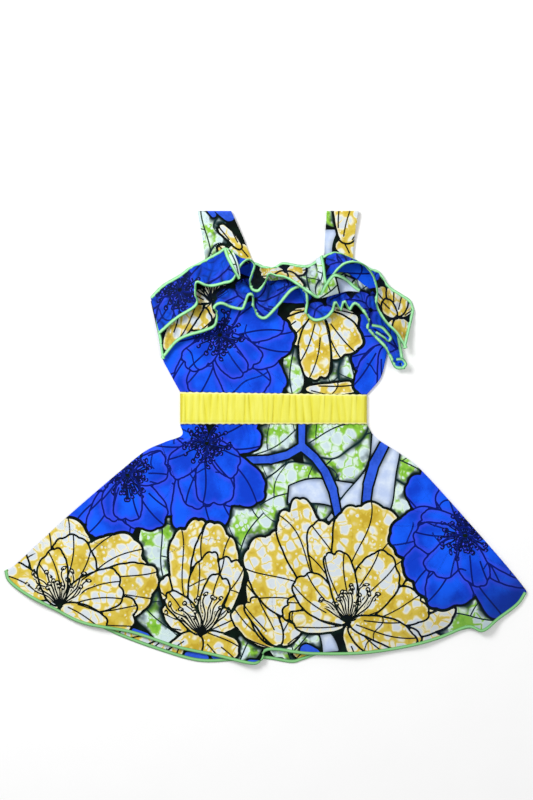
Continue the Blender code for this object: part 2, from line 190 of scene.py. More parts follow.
def curve_through(points, shares, measured=slice(None)):
    """Points at the given shares of the length of the Catmull-Rom curve through a row of points.

    Each span is the cubic whose slope at a point is half the step between its two neighbours.
    """
    points = np.asarray(points, float)
    knots = np.vstack([2 * points[0] - points[1], points, 2 * points[-1] - points[-2]])
    a, b, c, d = (knots[i:len(knots) - 3 + i, None, :] for i in range(4))
    t = np.linspace(0, 1, 16, endpoint=False)[None, :, None]
    bent = b + 0.5 * t * ((c - a) + t * ((2 * a - 5 * b + 4 * c - d) + t * (3 * b - a - 3 * c + d)))
    line = np.vstack([bent.reshape(-1, points.shape[1]), points[-1:]])
    along = run_of(line[:, measured])
    return walk(line, along, np.asarray(shares) * along[-1])


def patch(top, bottom, left, right):
    """Coons patch: across from left to right plus down from top to bottom, less the four corners."""
    u = np.linspace(0, 1, len(top))[None, :, None]
    v = np.linspace(0, 1, len(left))[:, None, None]
    across = (1 - u) * left[:, None] + u * right[:, None]
    down = (1 - v) * top[None] + v * bottom[None]
    corners = (1 - v) * ((1 - u) * top[0] + u * top[-1]) + v * ((1 - u) * bottom[0] + u * bottom[-1])
    return across + down - corners


def stacked(*numbers):
    """Arrays of numbers, spread to one shape, as a grid of points."""
    return np.stack(np.broadcast_arrays(*numbers), axis=-1)


def at_height(plan, height):
    """The plan grid with its heights, as a grid of points."""
    return stacked(plan[..., 0], plan[..., 1], height)


def shell(name, outer, inner, finish, ring=False):
    """Closed wall of cloth between two grids of points, joined at their edges."""
    rows, columns = outer.shape[:2]
    index = np.arange(rows * columns).reshape(rows, columns)
    if ring:
        index = np.column_stack([index, index[:, 0]])
    under = index + rows * columns
    edges = [(index[-1], under[-1]), (index[0, ::-1], under[0, ::-1])]
    if not ring:
        edges += [(index[:, 0], under[:, 0]), (index[::-1, -1], under[::-1, -1])]
    quads = [
        np.stack([index[:-1, :-1], index[1:, :-1], index[1:, 1:], index[:-1, 1:]], axis=-1),
        np.stack([under[:-1, :-1], under[:-1, 1:], under[1:, 1:], under[1:, :-1]], axis=-1),
        *(np.stack([over[1:], over[:-1], low[:-1], low[1:]], axis=-1) for over, low in edges),
    ]
    points = np.concatenate([outer.reshape(-1, 3), inner.reshape(-1, 3)])
    return add_mesh(name, points, np.concatenate([quad.reshape(-1, 4) for quad in quads]), finish)


def add_mesh(name, points, quads, finish):
    """A smooth mesh object from points in millimetres and four corners for each face."""
    mesh = bpy.data.meshes.new(name)
    points = (points - (0, MIDDLE_Y, 0)) / 1000
    mesh.vertices.add(len(points))
    mesh.vertices.foreach_set("co", np.ascontiguousarray(points, np.float32).ravel())
    mesh.loops.add(quads.size)
    mesh.loops.foreach_set("vertex_index", np.ascontiguousarray(quads, np.int32).ravel())
    mesh.polygons.add(len(quads))
    mesh.polygons.foreach_set("loop_start", np.arange(0, quads.size, 4, dtype=np.int32))
    mesh.update(calc_edges=True)
    mesh.validate()
    mesh.shade_smooth()
    mesh.materials.append(finish)
    made = bpy.data.objects.new(name, mesh)
    bpy.context.scene.collection.objects.link(made)
    return made


def both(grid):
    """A grid's plan points as one list, once for each face of a wall."""
    flat = grid[..., :2].reshape(-1, 2)
    return np.concatenate([flat, flat])


def layout(flowers, blades):
    """The motifs of a print as rows (kind, x, y, turn, reach, half_width), and the flowers' hearts."""
    motifs = []
    for kind, rows in blades:
        for x0, y0, x1, y1, half_width in rows:
            turn = math.degrees(math.atan2(y1 - y0, x1 - x0))
            motifs.append((kind, x0, y0, turn, math.hypot(x1 - x0, y1 - y0), half_width))
    for kind, x, y, _, petals in flowers:
        motifs.extend((kind, x, y, *petal) for petal in petals)
    hearts = [(x, y, STAMENS[stamens]) for _, x, y, stamens, _ in flowers if stamens != "none"]
    return motifs, hearts


def petal_size(p, q, reach, half_width, seed):
    """How far out a point is in a petal, 1 on its edge.

    A blunt oval (its two shares to the power 2.4 add up to 1) that bends aside and widens to the
    tip, where large and small lobes, each the |sin| of the turn about its middle, meet in notches.
    """
    share = np.clip(p / reach, 0, 1.2)
    along = (p - 0.52 * reach) / (0.5 * reach)
    bent = q - 0.17 * reach * math.sin(2.7 * seed) * share ** 2
    across = bent / (half_width * (0.72 + 0.42 * share))
    turn = np.arctan2(across, along)
    tip = np.clip(0.5 + 0.5 * np.cos(turn), 0, 1)
    large = 0.13 * np.abs(np.sin(2.3 * turn + seed))
    lobes = large + 0.045 * np.abs(np.sin(6.1 * turn + 2 * seed)) - 0.08
    return (np.abs(along) ** BLUNT + np.abs(across) ** BLUNT) ** (1 / BLUNT) / (1 + lobes * tip)


def motif_field(motif, seed, x, y):
    """Signed distance to a motif's edge (positive inside), and the point's place along and across it.

    A stem is a waved band with round ends. A pale part is a band that bows aside and narrows. A
    leaf's half width is a half sine to the power 0.55. A petal's distance is (1 - its petal_size)
    over the slope of that size, taken from two points half a millimetre away.
    """
    kind, x0, y0, turn, reach, half_width = motif
    cosine, sine = math.cos(math.radians(turn)), math.sin(math.radians(turn))
    p = (x - x0) * cosine + (y - y0) * sine
    q = (y - y0) * cosine - (x - x0) * sine
    if kind == "stem":
        edge = half_width * (1 + EDGE_WAVE * np.sin(p / 13 + seed))
        return edge - np.hypot(p - np.clip(p, 0, reach), q), p, q
    if kind == "pale":
        edge = half_width * (1 - 0.5 * np.clip(p / reach, 0, 1) + 0.08 * np.sin(p / 13 + seed))
        bent = q + 0.1 * reach * np.sin(math.pi * p / reach)
        return np.minimum(edge - np.abs(bent), np.minimum(p, reach - p)), p, q
    if kind == "leaf":
        share = np.clip(p / reach, 0, 1)
        waved = 1 + EDGE_WAVE * np.sin(p / 7 + seed)
        edge = half_width * np.sin(math.pi * share ** 0.85) ** 0.55 * waved
        return edge - np.abs(q) - np.abs(p - share * reach), p, q
    step = 0.5
    size = petal_size(p, q, reach, half_width, seed)
    slope = np.hypot(
        petal_size(p + step, q, reach, half_width, seed) - size,
        petal_size(p, q + step, reach, half_width, seed) - size,
    ) / step
    return (1 - size) / np.maximum(slope, 0.2 / reach), p, q


def print_cloth(mesh, plan, flat, motifs, hearts):
    """Stores the print on a mesh as point attributes.

    plan holds each point's place on the layout and flat its place on the flat cloth. A motif shows
    where no later one covers it: the lower of its own distance and minus the highest later one.
    Motifs that touch go to different slots, and each slot stores the distance into its nearest
    motif, the place along and across it, and its kind with a tone. families holds the distance into
    all the blue, gold, leaf and stem motifs, and heart the way to the nearest flower's heart.
    """
    x, y = plan.T
    fields = [motif_field(motif, 1.7 * number, x, y) for number, motif in enumerate(motifs)]
    depth = np.array([field[0] for field in fields])
    later = np.maximum.accumulate(depth[::-1], axis=0)[::-1]
    seen = depth.copy()
    seen[:-1] = np.minimum(depth[:-1], -later[1:])
    filled = np.full((PRINT_SLOTS, len(x)), NOWHERE)
    slots = [[] for _ in range(PRINT_SLOTS)]
    for number, field in enumerate(seen):
        clash = ((filled > -TOUCHING) & (field > -TOUCHING)).sum(axis=1)
        best = int(clash.argmin())
        slots[best].append(number)
        filled[best] = np.maximum(filled[best], field)
    codes = np.array([KINDS[motif[0]] + 0.1 * (number % 5) for number, motif in enumerate(motifs)])
    family = {}
    for kind in KINDS:
        own = np.array([motif[0] == kind for motif in motifs])
        covered = np.maximum.accumulate(np.where(own[:, None], NOWHERE, depth)[::-1], axis=0)[::-1]
        family[kind] = np.minimum(depth, -covered)[own].max(axis=0, initial=NOWHERE)
    family["leaf"] = np.maximum(family["leaf"], family.pop("pale"))
    store(mesh, "families", "FLOAT_COLOR", np.column_stack(list(family.values())))
    places = np.array([field[1:] for field in fields])
    column = np.arange(len(x))
    for number, members in enumerate(slots):
        values = np.full((len(x), 4), NOWHERE)
        if members:
            nearest = np.array(members)[seen[members].argmax(axis=0)]
            values[:, 0] = seen[nearest, column]
            values[:, 1:3] = places[nearest, :, column]
            values[:, 3] = codes[nearest]
        store(mesh, f"print_{number}", "FLOAT_COLOR", values)
    places = np.array(hearts or [(0, 0, 0)], float)
    away = plan[:, None] - places[None, :, :2]
    nearest = np.linalg.norm(away, axis=-1).argmin(axis=1)
    heart = np.column_stack([away[column, nearest], places[nearest, 2], nearest])
    store(mesh, "heart", "FLOAT_COLOR", heart)
    store(mesh, "cloth", "FLOAT_VECTOR", np.column_stack([flat, np.zeros(len(x))]))


def store(mesh, name, kind, values):
    """Puts one row of numbers on each point of a mesh."""
    attribute = mesh.attributes.new(name, kind, "POINT")
    field = {"FLOAT": "value", "FLOAT_VECTOR": "vector", "FLOAT_COLOR": "color"}[kind]
    attribute.data.foreach_set(field, np.ascontiguousarray(values, np.float32).ravel())


def set_inputs(node, inputs):
    """Links each of these inputs of a node to a wire or a socket, or sets it to a value."""
    for place, value in inputs.items():
        value = getattr(value, "socket", value)
        if isinstance(value, bpy.types.NodeSocket):
            node.id_data.links.new(value, node.inputs[place])
        else:
            node.inputs[place].default_value = value


def new_node(tree, kind, inputs, **settings):
    """A shader node with these settings and inputs."""
    node = tree.nodes.new("ShaderNode" + kind)
    for name, value in settings.items():
        setattr(node, name, value)
    set_inputs(node, inputs)
    return node


class Wire:
    """A number in a shader. Ordinary arithmetic on wires adds the Math nodes for it."""

    def __init__(self, socket):
        self.socket = socket
        self.tree = socket.id_data

    def math(self, operation, *others):
        inputs = dict(enumerate((self, *others)))
        return Wire(new_node(self.tree, "Math", inputs, operation=operation).outputs[0])

    __add__ = functools.partialmethod(math, "ADD")
    __sub__ = functools.partialmethod(math, "SUBTRACT")
    __mul__ = functools.partialmethod(math, "MULTIPLY")
    __truediv__ = functools.partialmethod(math, "DIVIDE")
    above = functools.partialmethod(math, "GREATER_THAN")
    below = functools.partialmethod(math, "LESS_THAN")
    either = functools.partialmethod(math, "MAXIMUM")

    def off(self):
        """1 where this is 0, and 0 where it is 1."""
        return (self * -1) + 1

    def between(self, low, high):
        """0 below low, 1 above high, and a smooth turn between them."""
        inputs = {"Value": self, "From Min": low, "From Max": high}
        node = new_node(self.tree, "MapRange", inputs, interpolation_type="SMOOTHSTEP")
        return Wire(node.outputs["Result"])

    def line(self, spacing):
        """Distance to the nearest of a row of lines this far apart."""
        return ((self / spacing).math("FRACT") - 0.5).math("ABSOLUTE") * spacing


def split(vector):
    """The three numbers of a vector socket, as wires."""
    return [Wire(part) for part in new_node(vector.id_data, "SeparateXYZ", {0: vector}).outputs]


def point_value(tree, name, *outputs):
    """Wires for some outputs of a point attribute; Vector gives its three numbers."""
    node = new_node(tree, "Attribute", {}, attribute_name=name)
    wires = []
    for output in outputs:
        socket = node.outputs[output]
        wires.extend(split(socket) if output == "Vector" else [Wire(socket)])
    return wires


def joined(x, y, z):
    """A vector socket made of three wires or numbers."""
    return new_node(x.tree, "CombineXYZ", {0: x, 1: y, 2: z}).outputs[0]


def noise(vector, size, detail=2.0):
    """Soft noise from 0 to 1 with features of about this size."""
    inputs = {"Vector": vector, "Scale": 1 / size, "Detail": detail}
    return Wire(new_node(vector.id_data, "TexNoise", inputs).outputs["Fac"])


def cells(vector, feature):
    """Distance to the nearest of scattered points one unit apart, or to the line between two cells."""
    node = new_node(vector.id_data, "TexVoronoi", {"Vector": vector, "Scale": 1}, feature=feature)
    return Wire(node.outputs["Distance"])


def chance(wire):
    """A steady random number from 0 to 1 for each value of a wire."""
    node = new_node(wire.tree, "TexWhiteNoise", {"W": wire}, noise_dimensions="1D")
    return Wire(node.outputs["Value"])


def paint(mask, under, over):
    """The colour over where the mask is 1 and the colour under where it is 0."""
    under, over = ((*colour, 1) if isinstance(colour, tuple) else colour for colour in (under, over))
    return new_node(mask.tree, "Mix", {"Factor": mask, 6: under, 7: over}, data_type="RGBA").outputs[2]


def new_group(name, number, value):
    """A node group that turns the cloth's coordinates and one number into a Height.

    It comes with wires for x, y and the number, and with the socket that the height goes to.
    """
    group = bpy.data.node_groups.new(name, "ShaderNodeTree")
    group.interface.new_socket("Cloth", in_out="INPUT", socket_type="NodeSocketVector")
    socket = group.interface.new_socket(number, in_out="INPUT", socket_type="NodeSocketFloat")
    socket.default_value = value
    group.interface.new_socket("Height", in_out="OUTPUT", socket_type="NodeSocketFloat")
    given = group.nodes.new("NodeGroupInput")
    out = group.nodes.new("NodeGroupOutput")
    x, y, _ = split(given.outputs["Cloth"])
    return group, x, y, Wire(given.outputs[number]), out


def put_group(tree, group, vector):
    """The height of a group placed in a material, fed with the cloth's own coordinates."""
    return Wire(new_node(tree, "Group", {"Cloth": vector}, node_tree=group).outputs["Height"])


def bump(height, distance, strength=1.0, **normal):
    """A normal socket that follows a height wire, on top of another normal if one is given."""
    inputs = {"Distance": distance, "Strength": strength, "Height": height, **normal}
    return new_node(height.tree, "Bump", inputs).outputs[0]


def new_material(name):
    """A material, its tree of nodes and its shader."""
    made = bpy.data.materials.new(name)
    made.use_nodes = True
    return made, made.node_tree, made.node_tree.nodes["Principled BSDF"]


def weave_group():
    """Plain weave: two rows of threads that pass over each other, and slubs along them.

    Height = sin(x / pitch) * sin(y / pitch) leaned on by noise that is stretched along each thread.
    """
    group, x, y, thread, out = new_group("plain_weave", "Thread", 0.42)
    across = (x / thread * math.pi).math("SINE")
    along = (y / thread * math.pi).math("SINE")
    slub_x = noise(joined(x * SLUB_STRETCH, y, 0), SLUB_SIZE)
    slub_y = noise(joined(x, y * SLUB_STRETCH, 0), SLUB_SIZE)
    set_inputs(out, {"Height": across * along * 0.25 + slub_x * 0.5 + slub_y * 0.5})
    return group


def crackle_group():
    """Wax crackle: pale round blobs of two sizes with a net of dye between them.

    Height = distance to the nearest blob's middle, but never low on the line between two blobs;
    the lower value of the large and the small blobs, leaned on by fine noise.
    """
    group, x, y, size, out = new_group("wax_crackle", "Size", 12.5)
    x, y = x / size, y / size
    drift = noise(joined(x, y, 0), 1.3) - 0.5
    thick = noise(joined(x + 31, y, 0), 2.2) - 0.5
    ragged = (noise(joined(x, y, 0), 0.25) - 0.5) * 0.09
    levels = []
    for times in (1.0, 2.2):
        place = joined(x * times + drift * 0.9, y * times * 0.9 - drift * 0.7, times)
        middle = cells(place, "F1") + ragged
        line = (cells(place, "DISTANCE_TO_EDGE") * -2.0) + 0.62 + ragged + thick * 0.35
        levels.append(middle.either(line))
    small = levels[1] + 0.26 + (noise(joined(x + 9, y, 0), 1.5) - 0.5) * 0.9
    set_inputs(out, {"Height": levels[0].math("MINIMUM", small)})
    return group


weave = weave_group()
crackle = crackle_group()


def print_values(tree):
    """The motif shown at a point: depth into it, place along and across it, and its code."""
    values = None
    for number in range(PRINT_SLOTS):
        terms = point_value(tree, f"print_{number}", "Vector", "Alpha")
        shown = terms[0].above(OUTLINE)
        terms = [term * shown for term in terms]
        values = terms if values is None else [a + b for a, b in zip(values, terms)]
    return values


def veins(along, across, code, broad):
    """Distance to a petal's veins: long lines that fan out from its foot, and one that crosses it.

    Fan = distance to the nearest of evenly turned lines times the reach from the foot, where a
    random number starts each line or leaves it out. Cross line = |reach - a waved random radius|.
    """
    along = along + VEIN_FOOT
    reach = (along * along + across * across).math("SQRT")
    bend = (reach / 30 + code * 37).math("SINE") * 0.11
    fan = across.math("ARCTAN2", along) + bend + code * 1.7
    number = (fan / VEIN_SPACING).math("FLOOR") + code * 50
    starts = chance(number) * 34 + 18
    kept = chance(number + 0.5).above(0.28)
    line = (fan.line(VEIN_SPACING) * reach).either((reach.above(starts) * kept).off() * FAR_OFF)
    arc = reach + (fan * 9).math("SINE") * 4 - chance(code * 10 + 0.3) * 40 - 42
    kept = chance(code * 10 + 0.7).above(0.5) * broad.above(0.47)
    return line.math("MINIMUM", arc.math("ABSOLUTE").either(kept.off() * FAR_OFF))


def stamens(x, y, number, upward, stands, spokes, turned):
    """1 on a flower's stamen threads, on the pale sides of them, on the rings at their ends, and
    inside the rings; then the distance to its heart.

    The turn round the heart is cut into spokes. In each one a thread, which waves aside with a
    sine, runs out to a random distance and ends in a ring. On a flower seen from the side
    (upward), only the threads in its upper fan stand, and they are longer.
    """
    far = (x * x + y * y).math("SQRT")
    spoke = (y.math("ARCTAN2", x) / (2 * math.pi) + 0.5 + turned) * spokes
    spoke = spoke + (far / 9).math("SINE") * 0.3
    pick = chance(spoke.math("FLOOR") + number * 31 + spokes)
    tip = pick * 22 + 8 + upward * (pick * 8 + 13)
    wave = (far / 4.6 + pick * 60).math("SINE") * 0.2 + (pick - 0.5) * 0.25
    aside = (spoke.math("FRACT") - 0.5 + wave).math("ABSOLUTE") * far * (2 * math.pi / spokes)
    ring = ((far - tip) * (far - tip) + aside * aside).math("SQRT")
    in_fan = (y - x.math("ABSOLUTE") * 0.7 + pick * 6).above(2)
    stands = stands * (upward.off().either(in_fan))
    starts = far.above(2) * (far + upward * 20).above((spokes - 12) / 2)
    threads = aside.below(STAMEN_HALF_WIDTH) * far.below(tip) * starts * stands
    pale = (aside - 1.6).math("ABSOLUTE").below(0.6) * far.below(tip) * far.above(9) * stands
    rings = (ring - STAMEN_RING).math("ABSOLUTE").below(STAMEN_HALF_WIDTH) * stands
    return threads, pale, rings, ring.below(1.4) * stands, far


def wax_print():
    """The printed cotton: fills the print's motifs with their colours, veins, crackle and stamens,
    then darkens it with painted shade where a mesh stores some.
    """
    made, tree, shader = new_material("wax_print_cotton")
    depth, along, across, code = print_values(tree)
    in_blue, in_gold, in_leaf, in_stem = point_value(tree, "families", "Vector", "Alpha")
    cloth_x, cloth_y, _ = point_value(tree, "cloth", "Vector")
    cloth = joined(cloth_x, cloth_y, 0)
    is_kind = {name: code.math("COMPARE", number + 0.2, 0.35) for name, number in KINDS.items()}
    tone = code.math("FRACT")
    broad = noise(cloth, 38)
    middle = noise(cloth, 15)
    fine = noise(cloth, 2.6)
    vein = veins(along, across, code, broad)

    # Gold and leaf: wax white and dye in the crackle, with more dye in some places than others
    level = put_group(tree, crackle, cloth) + (broad - 0.5) * 0.50 + (tone - 0.2) * 0.25
    deepest = level + fine * 0.2
    gold = paint(level.between(0.35, 0.48), WAX_WHITE, CREAM)
    gold = paint(level.between(0.42, 0.60), gold, GOLD)
    gold = paint(deepest.between(0.74, 1.0), gold, GOLD_DEEP)
    patches = middle + fine * 0.2
    margin = in_gold.between(1.5, 5.0).off() * patches.between(0.45, 0.60)
    gold = paint(margin * 0.85, gold, CREAM)
    gold = paint(vein.below(VEIN_HALF_WIDTH), gold, INK)
    leaf = paint(level.between(0.42, 0.53), LEAF_WHITE, MINT_WHITE)
    leaf = paint(level.between(0.49, 0.70), leaf, GREEN)
    leaf = paint(deepest.between(0.82, 1.1), leaf, GREEN_DEEP)
    margin = depth.between(0.8, 4.2).off() * patches.between(0.42, 0.62)
    leaf = paint(margin * 0.8, leaf, MINT_WHITE)
    rib = across + (along / 17 + tone * 9).math("SINE") * 4.5
    side = (along - rib.math("ABSOLUTE") * 0.8 + (rib / 11).math("SINE") * 5).line(SIDE_RIB_SPACING)
    ribs = rib.math("ABSOLUTE").below(VEIN_HALF_WIDTH).either(side.below(0.75) * rib.above(0))
    leaf = paint(ribs, leaf, TEAL_INK)

    # Blue petals with a violet rim, stems and pale leaf parts
    rim = (depth + middle * 6).between(2.5, 10.0).off()
    blue = paint((broad + (fine - 0.5) * 0.15).between(0.35, 0.68), BLUE_DEEP, BLUE_BRIGHT)
    blue = paint(rim * 0.75, blue, VIOLET)
    blue = paint(vein.below(1.0), blue, NAVY)
    stem = paint((fine * 0.5 + middle).between(0.5, 0.9), STEM_BLUE, STEM_LIGHT)
    pale = paint((middle + fine * 0.3).between(0.45, 0.95) * 0.8, LAVENDER, WHITE)
    pale = paint((depth + broad * 14).between(4, 14).off() * 0.75, pale, TEAL_INK)

    # Three turns of stamens round the nearest flower's heart, and the dark of a blue heart
    heart_x, heart_y, stand, heart = point_value(tree, "heart", "Vector", "Alpha")
    upward = stand.above(1.5)
    for spokes, turned in ((17, 0.0), (25, 0.013), (34, 0.021)):
        threads, pale_sides, rings, inside, far = stamens(
            heart_x, heart_y, heart, upward, stand.above(0.5), spokes, turned
        )
        blue = paint(inside, blue, VIOLET)
        blue = paint(threads.either(rings), blue, STAMEN_NAVY)
        gold = paint((pale_sides * 0.7).either(inside), gold, CREAM)
        gold = paint(threads.either(rings), gold, INK)
    dark = (far + noise(cloth, 3.5) * 26).below(19) * far.above(3.5) * stand.above(0.5) * upward.off()
    blue = paint(dark * 0.45, blue, STAMEN_NAVY)

    # The ground, then each family: lines inside a family are thinner than the black round it
    colour = paint(middle.between(0.45, 0.75), GROUND, GROUND_GREEN)
    colour = paint(in_blue.above(1.5), colour, NAVY)
    colour = paint(in_leaf.above(0.9), colour, TEAL_INK)
    beside = in_gold.either(in_blue).either(in_stem) * -1
    shade = (depth / ((broad - 0.42) * 40).either(0.4)).between(0.0, 1.0)
    shade = shade * (beside / ((middle - 0.40) * 60).either(0.6)).between(0.0, 1.0)
    colour = paint(is_kind["leaf"] * shade, colour, leaf)
    colour = paint(is_kind["pale"], colour, pale)
    colour = paint(in_stem.above(1.2), colour, stem)
    colour = paint(is_kind["blue"] * in_blue.above(1.9), colour, blue)
    colour = paint(is_kind["gold"] * in_gold.above(1.9) * depth.above(1.15), colour, gold)
    # Painted shade, stored on the ruffles and above the front skirt's hem, darkens the print towards a
    # dark blue, more on blue
    (painted_shade,) = point_value(tree, "painted_shade", "Fac")

    normal = bump(put_group(tree, weave, cloth), 0.00006)
    crumple = noise(cloth, 26, 3.0) * 0.6 + noise(cloth, 8) * 0.12
    set_inputs(shader, {
        "Base Color": paint(painted_shade * (is_kind["blue"] * 0.5 + 0.4), colour, PAINTED_SHADE_DARK),
        "Roughness": fine * 0.10 + middle * 0.12 + 0.52,
        "Sheen Weight": 0.01,
        "Sheen Roughness": 0.4,
        "Specular IOR Level": 0.05,
        "Normal": bump(crumple, 0.0014, 0.8, Normal=normal),
    })
    return made


def thread_material(name, colour, light, dark):
    """Spun polyester thread with random paler fibres, painted highlights on the loops' tops and along
    its top, and painted shade between the loops and at its sides.
    """
    made, tree, shader = new_material(name)
    run, across, loop = point_value(tree, "cloth", "Vector")
    fibre = noise(joined(run * 2.2 + across, across * 0.4, 0), 0.7)
    # Paler random fibres, and a painted highlight on the loops' tops
    shown = paint((loop * 0.7 + fibre * 0.5).between(0.35, 1.0), colour, light)
    # Painted shade between the loops, broken up by noise
    painted_gap_shade = (loop + noise(joined(run, across, 0), 9) * 0.5).between(0.0, 0.45).off()
    shown = paint(painted_gap_shade * 0.8, shown, dark)
    # Painted shade at the thread's two sides
    sideways = (across / EDGE_HALF_WIDTH).math("COSINE").math("ABSOLUTE")
    shown = paint(sideways.between(0.5, 0.95) * 0.8, shown, dark)
    # Base Color adds a painted highlight along the thread's top
    set_inputs(shader, {
        "Base Color": paint(sideways.between(0.1, 0.5).off() * 0.6, shown, light),
        "Roughness": fibre * 0.2 + 0.45,
        "Sheen Weight": 0.05,
        "Specular IOR Level": 0.2,
        "Normal": bump(fibre, 0.0002),
    })
    return made


def overlock(name, grid, side, finish):
    """Thread round one edge of a cloth surface.

    The edge's line is walked in equal steps. Each step has an ellipse of points across the edge,
    whose size = 1 + a share of sin(2 pi run / pitch + turn), the slanted loops of thread.
    """
    row, inside = {
        "bottom": (grid[-1], grid[-3]),
        "top": (grid[0], grid[2]),
        "left": (grid[:, 0], grid[:, 2]),
        "right": (grid[:, -1], grid[:, -3]),
    }[side]
    along = run_of(row)
    count = int(along[-1] / (LOOP_PITCH / LOOP_STEPS))
    wanted = np.linspace(0, along[-1], count)
    line = walk(row, along, wanted)
    inward = walk(inside - row, along, wanted)
    ahead = np.gradient(line, axis=0)
    ahead /= np.linalg.norm(ahead, axis=1, keepdims=True)
    inward -= ahead * np.sum(inward * ahead, axis=1, keepdims=True)
    inward /= np.linalg.norm(inward, axis=1, keepdims=True)
    up = np.cross(ahead, inward)
    up *= np.sign(up[:, 2:])
    around = np.linspace(0, 2 * math.pi, LOOP_SIDES, endpoint=False)
    ripple = np.sin(2 * math.pi * wanted[:, None] / LOOP_PITCH + around[None])
    size = 1 + LOOP_SWELL * ripple
    across = np.cos(around) * size * EDGE_HALF_WIDTH
    tall = np.sin(around) * size * EDGE_HALF_HEIGHT
    centre = line + inward * (EDGE_HALF_WIDTH - EDGE_OVERHANG)
    points = centre[:, None] + across[..., None] * inward[:, None] + tall[..., None] * up[:, None]
    index = np.arange(count * len(around)).reshape(count, len(around))
    index = np.column_stack([index, index[:, 0]])
    quads = np.stack([index[:-1, :-1], index[:-1, 1:], index[1:, 1:], index[1:, :-1]], axis=-1)
    first = points[0, 0]
    facing = np.cross(points[1, 0] - first, points[0, 1] - first) @ (first - centre[0])
    quads = quads.reshape(-1, 4)
    if facing > 0:
        quads = quads[:, ::-1]
    made = add_mesh(name, points.reshape(-1, 3), quads, finish)
    cap_ends(made.data, index[0, :-1], index[-1, :-1])
    place = stacked(wanted[:, None], around * EDGE_HALF_WIDTH, 0.5 + 0.5 * ripple)
    store(made.data, "cloth", "FLOAT_VECTOR", place)
    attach(made, "root")
    return made


def cap_ends(mesh, *rings):
    """Closes the open ends of a tube of thread."""
    form = bmesh.new()
    form.from_mesh(mesh)
    form.verts.ensure_lookup_table()
    for ring in rings:
        form.faces.new([form.verts[int(i)] for i in ring])
    bmesh.ops.recalc_face_normals(form, faces=form.faces)
    form.to_mesh(mesh)
    form.free()


wax_print_cotton = wax_print()
hem_thread = thread_material("hem_thread", HEM_GREEN, HEM_FIBRE_AND_PAINTED_HIGHLIGHT, HEM_THREAD_PAINTED_SHADE)
skirt_motifs, skirt_hearts = layout(SKIRT_FLOWERS, SKIRT_BLADES)
across = np.linspace(0, 1, BACK_COLUMNS)
down = np.linspace(0, 1, BACK_ROWS)
back_skirt_plan = patch(
    np.linspace(WAIST_LEFT, WAIST_RIGHT, len(across)),
    curve_through(BACK_HEM, across),
    curve_through(SKIRT_LEFT, down),
    curve_through(SKIRT_RIGHT, down),
)
back_skirt_top = at_height(back_skirt_plan, BACK_CLOTH)
skirt_back = shell("skirt_back_cloth", back_skirt_top, at_height(back_skirt_plan, 0.0), wax_print_cotton)
mirrored_plan = both(back_skirt_plan) * (-1, 1)
print_cloth(skirt_back.data, mirrored_plan, both(back_skirt_plan), skirt_motifs, skirt_hearts)
hem_line = back_skirt_top - (0, 0, BACK_CLOTH / 2 - HEM_LIFT)
hem_back = overlock("hem_back_thread", hem_line, "bottom", hem_thread)

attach(skirt_back, "root")
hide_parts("skirt_back")

# ---------------------------------------------------------------------------------------------
# Front skirt: the same flared panel, gathered into the waistband by 28 small pleats that open
# into long soft folds. Its hem is overlocked too.
GATHERS = 28
SKIRT_ROWS = 146
CLOTH = 0.7
# The lowest underside of a front panel, and how far it rises at once beside the seams
FRONT_FLOOR = 1.7
FRONT_RISE = 1.2
GATHER_HEIGHT = 1.5
GATHER_LENGTH = 30
# Painted shade darkens the front skirt above its hem over this reach of its length, fully so at the right
# end
SKIRT_LENGTH = 270
SKIRT_HEM_PAINTED_SHADE = 0.7
SKIRT_HEM_PAINTED_SHADE_REACH = 70
SKIRT_HEM_PAINTED_SHADE_FULL_X = 250
FRONT_HEM = [
    (-302.2, -174), (-298, -186), (-279, -201), (-245, -219), (-212, -235), (-156, -246), (-103, -263),
    (-62, -272), (-24, -280.5), (-8, -280.5), (-1, -268), (14, -266), (54, -271), (111, -270), (157, -264),
    (200, -253), (234, -240), (251, -244), (269, -231), (292, -214), (302.2, -200),
]
SKIRT_FOLDS = [
    # at_waist, at_hem, starts, half_width, height
    (0.06, 0.085, 0.25, 0.030, 2.5),
    (0.17, 0.200, 0.10, 0.035, 3.0),
    (0.28, 0.330, 0.35, 0.030, 2.2),
    (0.42, 0.470, 0.45, 0.022, 5.0),
    (0.53, 0.555, 0.20, 0.030, 2.8),
    (0.64, 0.670, 0.05, 0.040, 3.2),
    (0.76, 0.785, 0.30, 0.028, 2.4),
    (0.88, 0.905, 0.40, 0.022, 5.5),
]
SKIRT_CREASES = [
    # from_x, from_y, to_x, to_y, half_width, height (a trough is below 0)
    (27, -60, 27, -128, 2.6, 1.5),
    (31, -64, 31, -126, 2.2, -0.9),
    (-35, -150, -33, -282, 4.0, 1.8),
    (-28, -170, -27, -282, 4.5, -1.2),
    (230, -190, 250, -243, 5.0, 1.6),
    (-120, -60, -190, -150, 7.0, 1.1),
    (-96, -60, -126, -190, 9.0, -1.0),
    (60, -60, 82, -180, 8.0, 0.9),
    (120, -50, 170, -150, 8.0, 1.0),
    (-210, -160, -262, -200, 6.0, 0.9),
    (150, -190, 172, -258, 6.0, 1.0),
    (-70, -190, -84, -268, 6.0, 1.1),
]


def smooth_step(x):
    """0 below 0, 1 above 1, and an even turn between them."""
    x = np.clip(x, 0, 1)
    return x * x * (3 - 2 * x)


def uneven(shares):
    """The shares moved a little to and fro, so that gathers are not all alike."""
    return shares + 0.006 * np.sin(6 * math.pi * shares) + 0.003 * np.sin(14 * math.pi * shares)


def seam_ramp(shares):
    """0 at the two side seams, where front and back meet, and 1 a little way in."""
    return smooth_step(np.minimum(shares, 1 - shares) / 0.05)


